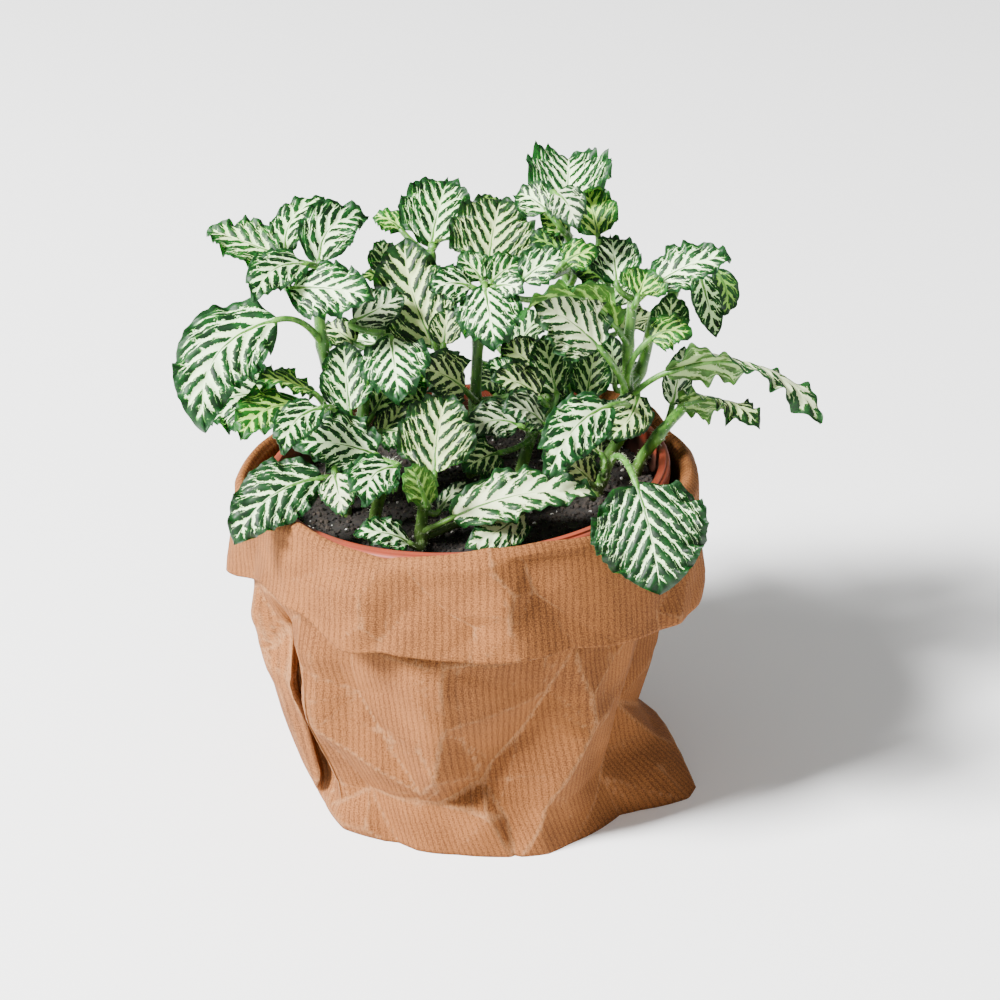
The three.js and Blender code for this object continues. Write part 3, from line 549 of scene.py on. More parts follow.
class Skin:
    """Points and faces gathered for one piece, in millimetres, with what its material reads."""

    def __init__(self, *attributes: str) -> None:
        """Starts an empty skin.

        Args:
            *attributes: names of the vectors that each point carries.
        """
        self.points: list[np.ndarray] = []
        self.faces: list[np.ndarray] = []
        self.slots: list[np.ndarray] = []
        self.carried: dict[str, list[np.ndarray]] = {name: [] for name in attributes}
        self.count = 0

    def add(self, points: np.ndarray, faces: np.ndarray, slot: int | np.ndarray = 0, **carried: np.ndarray) -> None:
        """Adds one closed shell.

        Args:
            points: its points.
            faces: its faces as rows of point numbers; a triangle repeats its last one.
            slot: the material slot of all faces or of each.
            **carried: one vector a point for each attribute.
        """
        self.points.append(points)
        self.faces.append(faces + self.count)
        self.slots.append(np.broadcast_to(np.asarray(slot), (len(faces),)))
        for name, store in self.carried.items():
            store.append(np.broadcast_to(np.asarray(carried[name], dtype=float), (len(points), 3)))
        self.count += len(points)

    def piece(self, name: str, *materials: bpy.types.Material) -> bpy.types.Object:
        """Makes the mesh object, shaded smooth.

        Args:
            name: the piece's name.
            *materials: what its slots hold.

        Returns:
            The object, at the origin, in metres.
        """
        rows = np.concatenate(self.faces).tolist()
        mesh = bpy.data.meshes.new(name)
        polygons = [row[:3] if row[2] == row[3] else row for row in rows]
        mesh.from_pydata((np.concatenate(self.points) * MM).tolist(), [], polygons)
        mesh.polygons.foreach_set("material_index", np.concatenate(self.slots).astype(np.int32))
        mesh.polygons.foreach_set("use_smooth", np.full(len(polygons), True))
        for label, store in self.carried.items():
            layer = mesh.attributes.new(label, "FLOAT_VECTOR", "POINT")
            layer.data.foreach_set("vector", np.concatenate(store).astype(np.float32).ravel())
        for material in materials:
            mesh.materials.append(material)
        mesh.update()
        return new_object(name, mesh)


def ring_faces(rows: int, count: int) -> np.ndarray:
    """Faces between closed rings of points that lie one after another."""
    i, k = np.meshgrid(np.arange(rows - 1), np.arange(count), indexing="ij")
    a = (i * count + k).ravel()
    b = (i * count + (k + 1) % count).ravel()
    return np.stack([a, b, b + count, a + count], axis=1)


def fan_faces(rim: np.ndarray, centre: int) -> np.ndarray:
    """Triangles from a closed rim to one point, turned as the rim runs."""
    after = np.roll(rim, -1)
    top = np.full(len(rim), centre)
    return np.stack([rim, after, top, top], axis=1)


def slab_faces(rows: int, columns: int) -> tuple[np.ndarray, np.ndarray, np.ndarray]:
    """Faces of a thin slab, whose upper points all come before its lower ones.

    Args:
        rows: how many rows of faces it has.
        columns: how many faces each row has.

    Returns:
        The faces of its upper side, its under side and its rim.
    """
    row = columns + 1
    count = row * (rows + 1)
    i, k = np.meshgrid(np.arange(rows), np.arange(columns), indexing="ij")
    a = (i * row + k).ravel()
    top = np.stack([a, a + 1, a + row + 1, a + row], axis=1)
    rim = np.concatenate([np.arange(row), columns + row * np.arange(1, rows + 1), count - 2 - np.arange(columns),
                          row * np.arange(rows - 1, 0, -1)])
    after = np.roll(rim, -1)
    return top, top[:, ::-1] + count, np.stack([rim, rim + count, after + count, after], axis=1)


def tube_faces(rows: int, count: int) -> np.ndarray:
    """Faces of closed rings of points, and of a fan at each end to the two points that come after them."""
    first = np.arange(count)
    ends = [fan_faces(first[::-1], rows * count), fan_faces(first + (rows - 1) * count, rows * count + 1)]
    return np.vstack([ring_faces(rows, count), *ends])


def sweep(path: np.ndarray, radii: np.ndarray, sides: int, flat: float = 1.0) -> tuple[np.ndarray, np.ndarray]:
    """A closed tube along a path.

    Args:
        path: its middle line, one point a row.
        radii: its radius at each of them.
        sides: how many sides it has.
        flat: its thickness as a share of its width.

    Returns:
        Points and faces.
    """
    tangents = unit(np.gradient(path, axis=0))
    upright = abs(tangents[0][2]) >= 0.9
    normals = [unit(np.cross(tangents[0], np.array((1.0, 0.0, 0.0)) if upright else UP))]
    for tangent in tangents[1:]:
        last = normals[-1]
        normals.append(unit(last - tangent * np.dot(last, tangent)))
    across = np.array(normals)
    up = np.cross(tangents, across)
    angles = np.linspace(0, 2 * math.pi, sides, endpoint=False)
    ring = across[:, None] * np.cos(angles)[None, :, None] + up[:, None] * (flat * np.sin(angles))[None, :, None]
    points = (path[:, None] + ring * radii[:, None, None]).reshape(-1, 3)
    return np.vstack([points, path[0], path[-1]]), tube_faces(len(path), sides)


def arc(start: np.ndarray, bend: np.ndarray, end: np.ndarray, t: np.ndarray) -> np.ndarray:
    """Points at shares of the run of a curve that leaves and ends towards its bend."""
    t = t[:, None]
    return (1 - t) ** 2 * start + 2 * t * (1 - t) * bend + t**2 * end


class Shape(Enum):
    """What a Scatter strews."""

    HAIR = "hair"
    CRUMB = "crumb"


@dataclass(frozen=True)
class Strewing:
    """How small things are strewn: how many to the square metre, how large in metres, and how turned."""

    density: float
    width: float
    height: float
    smallest: float  # size of the smallest, as a share of the largest
    seed: int
    lean: float = 3.15  # most turn about the two level axes, in radians
    facing: float = 0.6  # least upward part of the normal where they lie


class Scatter:
    """Small things strewn over a skin by Geometry Nodes."""

    SPIN = 3.15  # most turn about the upright axis, in radians
    LUMP_SCALE = 900.0  # how close the lumps of a crumb are, per metre

    def __init__(self, name: str, shape: Shape, material: bpy.types.Material) -> None:
        """Builds the tree.

        Args:
            name: what is strewn.
            shape: which small thing it is.
            material: what it is made of.
        """
        self.name = name
        self.tree = bpy.data.node_groups.new(name, "GeometryNodeTree")
        face = self.tree.interface
        face.new_socket("Geometry", in_out="INPUT", socket_type="NodeSocketGeometry")
        for label in ("Density", "Width", "Height", "Smallest", "Lean", "Facing"):
            face.new_socket(label, in_out="INPUT", socket_type="NodeSocketFloat")
        face.new_socket("Seed", in_out="INPUT", socket_type="NodeSocketInt")
        face.new_socket("Geometry", in_out="OUTPUT", socket_type="NodeSocketGeometry")
        self.fill(Graph(self.tree), shape, material)

    def fill(self, g: Graph, shape: Shape, material: bpy.types.Material) -> None:
        """Joins the nodes: points on the skin, a small thing on each, turned and sized at random.

        Args:
            g: the tree's graph.
            shape: which small thing it is.
            material: what it is made of.
        """
        given = g.put("NodeGroupInput").outputs
        seed, width, height = given["Seed"], given["Width"], given["Height"]
        normal = g.get("GeometryNodeInputNormal")
        upward = g.get("FunctionNodeCompare", {0: g.split(normal)[2], 1: given["Facing"]},
                       data_type="FLOAT", operation="GREATER_THAN")
        points = g.put("GeometryNodeDistributePointsOnFaces",
                       {"Mesh": given["Geometry"], "Selection": upward, "Density": given["Density"], "Seed": seed},
                       distribute_method="RANDOM")
        if shape is Shape.HAIR:
            sizes = {"Vertices": 3, "Radius Top": 0.0, "Radius Bottom": width, "Depth": height}
            thing = g.get("GeometryNodeMeshCone", sizes, fill_type="NONE")
        else:
            ball = g.get("GeometryNodeMeshIcoSphere", {"Radius": width, "Subdivisions": 1})
            at = g.get("GeometryNodeInputPosition")
            lumps = g.get("ShaderNodeTexNoise", {"Vector": at, "Scale": self.LUMP_SCALE, "Detail": 1.0}, 1)
            shift = g.get("ShaderNodeVectorMath", {0: lumps, 1: (0.5, 0.5, 0.5)}, operation="SUBTRACT")
            push = g.get("ShaderNodeVectorMath", {0: shift, "Scale": height}, operation="SCALE")
            thing = g.get("GeometryNodeSetPosition", {"Geometry": ball, "Offset": push})
        most = g.combine(given["Lean"], given["Lean"], self.SPIN)
        least = g.get("ShaderNodeVectorMath", {0: most, 1: (-1, -1, -1)}, operation="MULTIPLY")
        turn = g.get("FunctionNodeRandomValue", {0: least, 1: most, "Seed": seed}, data_type="FLOAT_VECTOR")
        turned = g.get("FunctionNodeRotateRotation", {0: points.outputs["Rotation"], 1: turn}, rotation_space="LOCAL")
        size = g.get("FunctionNodeRandomValue", {2: given["Smallest"], 3: 1.0, "Seed": seed}, 1, data_type="FLOAT")
        placed = g.get("GeometryNodeInstanceOnPoints",
                       {"Points": points.outputs[0], "Instance": thing, "Rotation": turned, "Scale": size})
        real = g.get("GeometryNodeRealizeInstances", {0: placed})
        g.put("NodeGroupOutput", {0: g.get("GeometryNodeSetMaterial", {"Geometry": real, "Material": material})})

    def strew(self, ground: bpy.types.Object, name: str, strewing: Strewing) -> bpy.types.Object:
        """Strews the things over one piece.

        Args:
            ground: the piece whose faces carry them.
            name: the new piece's name.
            strewing: values for the tree's named inputs.

        Returns:
            The strewn things as one plain mesh.
        """
        carrier = new_object(f"{name}_carrier", ground.data)
        modifier = carrier.modifiers.new(self.name, "NODES")
        modifier.node_group = self.tree
        for item in self.tree.interface.items_tree:
            if item.in_out == "INPUT" and item.name != "Geometry":
                modifier[item.identifier] = getattr(strewing, item.name.lower())
        mesh = plain_mesh(carrier)
        bpy.data.objects.remove(carrier)
        mesh.name = name
        return new_object(name, mesh)


# ---- leaves and stems -----------------------------------------------------------------------

@dataclass(frozen=True)
class Leaf:
    """One leaf: the stem's joint that carries it, its midrib from base to tip, width and pose.

    face is 0 for a blade that lies flat, 1 for one that faces the front and -1 for one that shows
    its back; bow and sway arch the midrib, as shares of its length; cup lifts both halves, roll turns
    the blade from its base on and twist on to its tip, in degrees.
    """

    joint: int
    base: Triple
    tip: Triple
    width: float
    face: float
    bow: float
    sway: float
    cup: float
    twist: float
    look: Look
    roll: float = 0.0


class Midrib:
    """The curve that a leaf's blade hangs on."""

    def __init__(self, leaf: Leaf) -> None:
        """Works out the curve and the directions across it and out of the blade."""
        self.base, self.tip = np.array(leaf.base, float), np.array(leaf.tip, float)
        way = self.tip - self.base
        self.length = float(np.linalg.norm(way))
        self.chord = way / self.length
        outward = (UP * (1 - abs(leaf.face)) + FRONT * abs(leaf.face)) * (-1 if leaf.face < 0 else 1)
        self.across = unit(np.cross(self.chord, outward))
        self.out = np.cross(self.across, self.chord)
        self.bend = (self.base + self.tip) / 2 + self.length * (leaf.bow * self.out + leaf.sway * self.across)

    def point(self, t: np.ndarray) -> np.ndarray:
        """Points at shares of the midrib's run."""
        return arc(self.base, self.bend, self.tip, t)

    def tangent(self, t: np.ndarray) -> np.ndarray:
        """Directions at shares of the midrib's run."""
        t = t[:, None]
        return unit((1 - t) * (self.bend - self.base) + t * (self.tip - self.bend))

    def frame(self, t: np.ndarray, leaf: Leaf) -> tuple[np.ndarray, np.ndarray]:
        """The blade's side and outward directions at shares of the run."""
        tangent = self.tangent(t)
        flat = unit(self.chord * (tangent @ self.chord)[:, None] + self.across * (tangent @ self.across)[:, None])
        side = np.cross(flat, self.out)
        out = np.cross(side, tangent)
        angle = np.radians(leaf.roll + leaf.twist * t)[:, None]
        return side * np.cos(angle) + out * np.sin(angle), out * np.cos(angle) - side * np.sin(angle)


@dataclass(frozen=True)
class BladeForm:
    """How every blade is shaped: outline, margin, quilting and curl, in millimetres or shares."""

    thickness: float = 0.42
    margin_thickness: float = 0.26
    shoulder: float = 0.5  # the outline's powers towards the base and the tip
    point: float = 0.8
    ruffle: float = 0.055  # height of the margin's long waves, as a share of the width
    waves: float = 2.5
    crinkle: float = 0.065  # height of its short waves
    teeth: float = 0.014
    phase_step: float = 1.7  # from one leaf's waves to the next one's
    half_step: float = 2.0  # the same from one half of a blade to the other
    quilt: float = 0.4  # height of the pillows between side veins on a blade 20 mm wide
    quilt_end: float = 1.15  # the reach at which they would end
    groove: float = 0.3  # depth of the groove over the midrib
    groove_width: float = 0.9
    vein_spacing: float = 2.0
    vein_spread: float = 0.105  # what each millimetre of length adds to the spacing
    tip_curl: float = 0.05
    curl_run: float = 0.2
    column_step: float = 0.6
    column_limits: tuple[int, int] = (6, 26)
    crowding: float = 0.86  # how much closer the columns are at the margin, up to 1
    row_step: float = 0.55
    row_limits: tuple[int, int] = (16, 84)
    foot: float = 0.9  # least half-width of the base half and of the tip half
    end: float = 0.25

    def outline(self, t: np.ndarray) -> np.ndarray:
        """Half the width at shares of the length, as a part of the widest half."""
        peak = self.shoulder / (self.shoulder + self.point)
        return (t / peak) ** self.shoulder * ((1 - t) / (1 - peak)) ** self.point

    def turns(self, along: np.ndarray, out: np.ndarray, spacing: float, other_half: np.ndarray) -> np.ndarray:
        """Counts side veins up to a place, as the veins of the leaves' finish run.

        Args:
            along: distance along the midrib.
            out: distance from it.
            spacing: from one side vein to the next.
            other_half: where the blade's other half is, whose veins start half a spacing on.

        Returns:
            The count, whole on each side vein.
        """
        return (along - VeinPattern.SLOPE * out - VeinPattern.CURVE * out**2) / spacing + 0.5 * other_half

    def blade(self, leaf: Leaf, phase: float, skin: Skin, slots: tuple[int, int]) -> None:
        """Adds one blade, closed, with both its sides.

        Args:
            leaf: the leaf.
            phase: where its waves start.
            skin: what the blade goes into.
            slots: the material slots of its upper and under side.
        """
        rib = Midrib(leaf)
        rows = int(np.clip(rib.length / self.row_step, *self.row_limits))
        columns = 2 * int(np.clip(leaf.width / self.column_step / 2, *self.column_limits))
        t = np.linspace(0, 1, rows + 1)
        v = np.linspace(-1, 1, columns + 1) * math.pi / 2 * self.crowding
        v = np.sin(v) / math.sin(math.pi / 2 * self.crowding)
        tt, vv = np.meshgrid(t, v, indexing="ij")
        reach = np.abs(vv)
        other_half = vv > 0
        shift = np.where(other_half, phase, phase + self.half_step)

        def wave(times: float, share: float) -> np.ndarray:
            """A wave along the blade that differs from leaf to leaf and from half to half."""
            return np.sin(2 * math.pi * times * tt + share * shift)

        rise = math.radians(leaf.cup)
        spacing = self.vein_spacing + self.vein_spread * rib.length
        along = tt * rib.length
        edge = leaf.width / 2 * self.outline(t)[:, None]
        lobes = np.cos(2 * math.pi * self.turns(along, edge, spacing, other_half))
        teeth = 1 + self.teeth * (lobes + 0.9 * (wave(3.7, 3) * wave(13.3, 5)) + 0.5 * wave(21, 7))
        half = np.maximum(edge * teeth, np.where(tt < 0.5, self.foot, self.end))
        across = vv * half
        veins = np.cos(2 * math.pi * self.turns(along, np.abs(across), spacing, other_half))
        crinkle = (wave(5.3, 2) + 0.6 * wave(10.7, 4)) * (1 + 0.6 * wave(1.9, 3))
        lift = reach**1.25 * half * math.sin(rise)
        lift += leaf.width * (self.ruffle * vv**2 * wave(self.waves, 1) + self.crinkle * reach**3.5 * crinkle)
        lift += self.quilt * (leaf.width / 20) * (0.5 - veins) * (reach * (self.quilt_end - reach))**0.5
        lift -= self.groove * np.exp(-(across / self.groove_width) ** 2)
        lift -= self.tip_curl * rib.length * np.clip((tt - (1 - self.curl_run)) / self.curl_run, 0, 1) ** 2
        side, out = (way[:, None] for way in rib.frame(t, leaf))
        middle = rib.point(t)[:, None] + side * (across * math.cos(rise))[..., None] + out * lift[..., None]
        thick = self.margin_thickness + (self.thickness - self.margin_thickness) * (1 - reach**2)
        half_thick = out * (thick / 2)[..., None]
        points = np.vstack([(middle + half_thick).reshape(-1, 3), (middle - half_thick).reshape(-1, 3)])
        top, under, rim = slab_faces(rows, columns)
        slot = np.repeat([slots[0], slots[1], slots[0]], [len(top), len(under), len(rim)])
        place = np.stack([along, across, np.full_like(along, phase)], axis=-1).reshape(-1, 3)
        gap = np.minimum((1 - reach) * half * 2 / leaf.width, 1.1 * (1 - tt) * rib.length / leaf.width)
        band = np.stack([gap] * 3, axis=-1).reshape(-1, 3)
        skin.add(points, np.vstack([top, under, rim]), slot, place=np.vstack([place, place]),
                 build=(rib.length, leaf.width, spacing), rim=np.vstack([band, band]))


BLADE = BladeForm()


@dataclass(frozen=True)
class StalkForm:
    """How stems and stalks are shaped, in millimetres or shares."""

    foot_radius: float = 2.0
    top_radius: float = 1.5
    tip_taper: Triple = (0.95, 0.8, 0.5)
    stem_sides: int = 14
    root_depth: float = 8.5
    foot_rise: float = 2.0  # up to where the stem stands straight
    knuckle: float = 0.22  # how much thicker the stem is where leaves leave it
    knuckle_run: float = 2.2
    stalk_radius: float = 0.95
    stalk_foot: float = 0.35  # how much thicker a stalk is where it leaves the stem
    stalk_flat: float = 0.92
    stalk_lead: float = 0.45  # share of its length that it lies in line with the midrib
    stalk_sides: int = 10
    leaf_step: float = 2.0  # from one stalk's start to the next at a joint
    rib_start: float = 0.03  # shares of the blade between which the raised midrib runs
    rib_run: float = 0.82
    rib_end_radius: float = 0.22
    rib_taper: float = 0.7
    rib_sunk: float = 0.35
    hairs: Strewing = Strewing(420000.0, 0.06 * MM, 1.3 * MM, 0.4, 1, 0.6, -2.0)


STALK = StalkForm()


class CatmullRom:
    """A centripetal curve through points, as the solids' stems follow."""

    def __init__(self, points: list[np.ndarray]) -> None:
        """Keeps the points with one more before the first and one more after the last."""
        self.points = [2 * points[0] - points[1], *points, 2 * points[-1] - points[-2]]

    def sample(self, each: int) -> np.ndarray:
        """Gives the curve as points, so many from one given point to the next."""
        line = [self.points[1]]
        for i in range(len(self.points) - 3):
            a, b, c, d = self.points[i:i + 4]
            ta, tb, tc = (math.sqrt(float(np.linalg.norm(q - p))) for p, q in ((a, b), (b, c), (c, d)))
            start = ((b - a) / ta - (c - a) / (ta + tb) + (c - b) / tb) * tb
            end = ((c - b) / tb - (d - b) / (tb + tc) + (d - c) / tc) * tb
            for k in range(1, each + 1):
                u = k / each
                square, cube = 3 * (c - b) - 2 * start - end, 2 * (b - c) + start + end
                line.append(b + u * start + u**2 * square + u**3 * cube)
        return np.array(line)


@dataclass(frozen=True)
class LeafyStem:
    """One stem with its stalks and leaves, all grown as one."""

    name: str
    root: tuple[float, float]
    joints: tuple[Triple, ...]
    leaves: tuple[Leaf, ...]

    @property
    def node(self) -> str:
        """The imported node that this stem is."""
        return f"leafy_stem_{self.name}"

    def start(self, leaf: Leaf) -> np.ndarray:
        """Where a leaf's stalk leaves the stem: those of one joint start one under the other."""
        x, y = self.root
        node = np.array(self.joints[leaf.joint], float)
        below = np.array(self.joints[leaf.joint - 1] if leaf.joint else (x, y, POT.soil_height(x)), float)
        higher = sum(other.joint == leaf.joint and other.base[2] > leaf.base[2] for other in self.leaves)
        way = below - node
        reach = float(np.linalg.norm(way))
        return node + way / reach * min(higher * STALK.leaf_step, 0.7 * reach)

    def stem(self, skin: Skin) -> None:
        """Adds the stem, thickened where leaves leave it."""
        x, y = self.root
        ground = POT.soil_height(x)
        points = [np.array((x, y, ground - STALK.root_depth)), np.array((x, y, ground + STALK.foot_rise))]
        points += [np.array(joint, float) for joint in self.joints if joint[2] > ground + 3]
        line = CatmullRom(points).sample(16)
        share = np.linspace(0, 1, len(line))
        radii = STALK.foot_radius + (STALK.top_radius - STALK.foot_radius) * share
        for joint in self.joints:
            off = np.linalg.norm(line - np.array(joint), axis=1)
            radii *= 1 + STALK.knuckle * np.exp(-((off / STALK.knuckle_run) ** 2))
        radii[-3:] *= np.array(STALK.tip_taper)
        skin.add(*sweep(line, radii, STALK.stem_sides))

    def stalk(self, leaf: Leaf, skin: Skin) -> None:
        """Adds a leaf's stalk, which runs on under the blade as its raised midrib."""
        rib = Midrib(leaf)
        start = self.start(leaf)
        reach = float(np.linalg.norm(rib.base - start))
        guide = rib.base - rib.tangent(np.array([0.0]))[0] * STALK.stalk_lead * reach
        free = arc(start, guide, rib.base, np.linspace(0, 1, 12))
        free_radii = STALK.stalk_radius * (1 + STALK.stalk_foot * np.linspace(1, 0, len(free)) ** 3)
        shares = np.linspace(STALK.rib_start, STALK.rib_run, 22)
        thinner = (STALK.rib_end_radius - STALK.stalk_radius) * shares**STALK.rib_taper
        radii = STALK.stalk_radius + thinner / STALK.rib_run**STALK.rib_taper
        _, out = rib.frame(shares, leaf)
        grown_in = rib.point(shares) - out * (BLADE.groove + STALK.rib_sunk * radii)[:, None]
        skin.add(*sweep(np.vstack([free, grown_in]), np.concatenate([free_radii, radii]), STALK.stalk_sides,
                        STALK.stalk_flat))

    def build(self, leaf_materials: LeafMaterials, green: bpy.types.Material, hairs: Scatter, seed: int) -> None:
        """Makes the foliage, the stalks and their hairs.

        Args:
            leaf_materials: the looks of the leaves.
            green: the stems' material.
            hairs: strews hairs.
            seed: this stem's own number.
        """
        looks = list(dict.fromkeys(leaf.look for leaf in self.leaves))
        materials = [leaf_materials.get(look, under) for look in looks for under in (False, True)]
        blades = Skin("place", "build", "rim")
        stalks = Skin()
        self.stem(stalks)
        for index, leaf in enumerate(self.leaves):
            slot = 2 * looks.index(leaf.look)
            BLADE.blade(leaf, index * BLADE.phase_step, blades, (slot, slot + 1))
            self.stalk(leaf, stalks)
        foliage = blades.piece(f"foliage_{self.name}", *materials)
        green_parts = stalks.piece(f"stalks_{self.name}", green)
        down = hairs.strew(green_parts, f"hairs_{self.name}", replace(STALK.hairs, seed=seed))
        settle(foliage, "veined_leaf", self.node)
        settle(green_parts, "veined_leaf", self.node)
        settle(down, "veined_leaf")


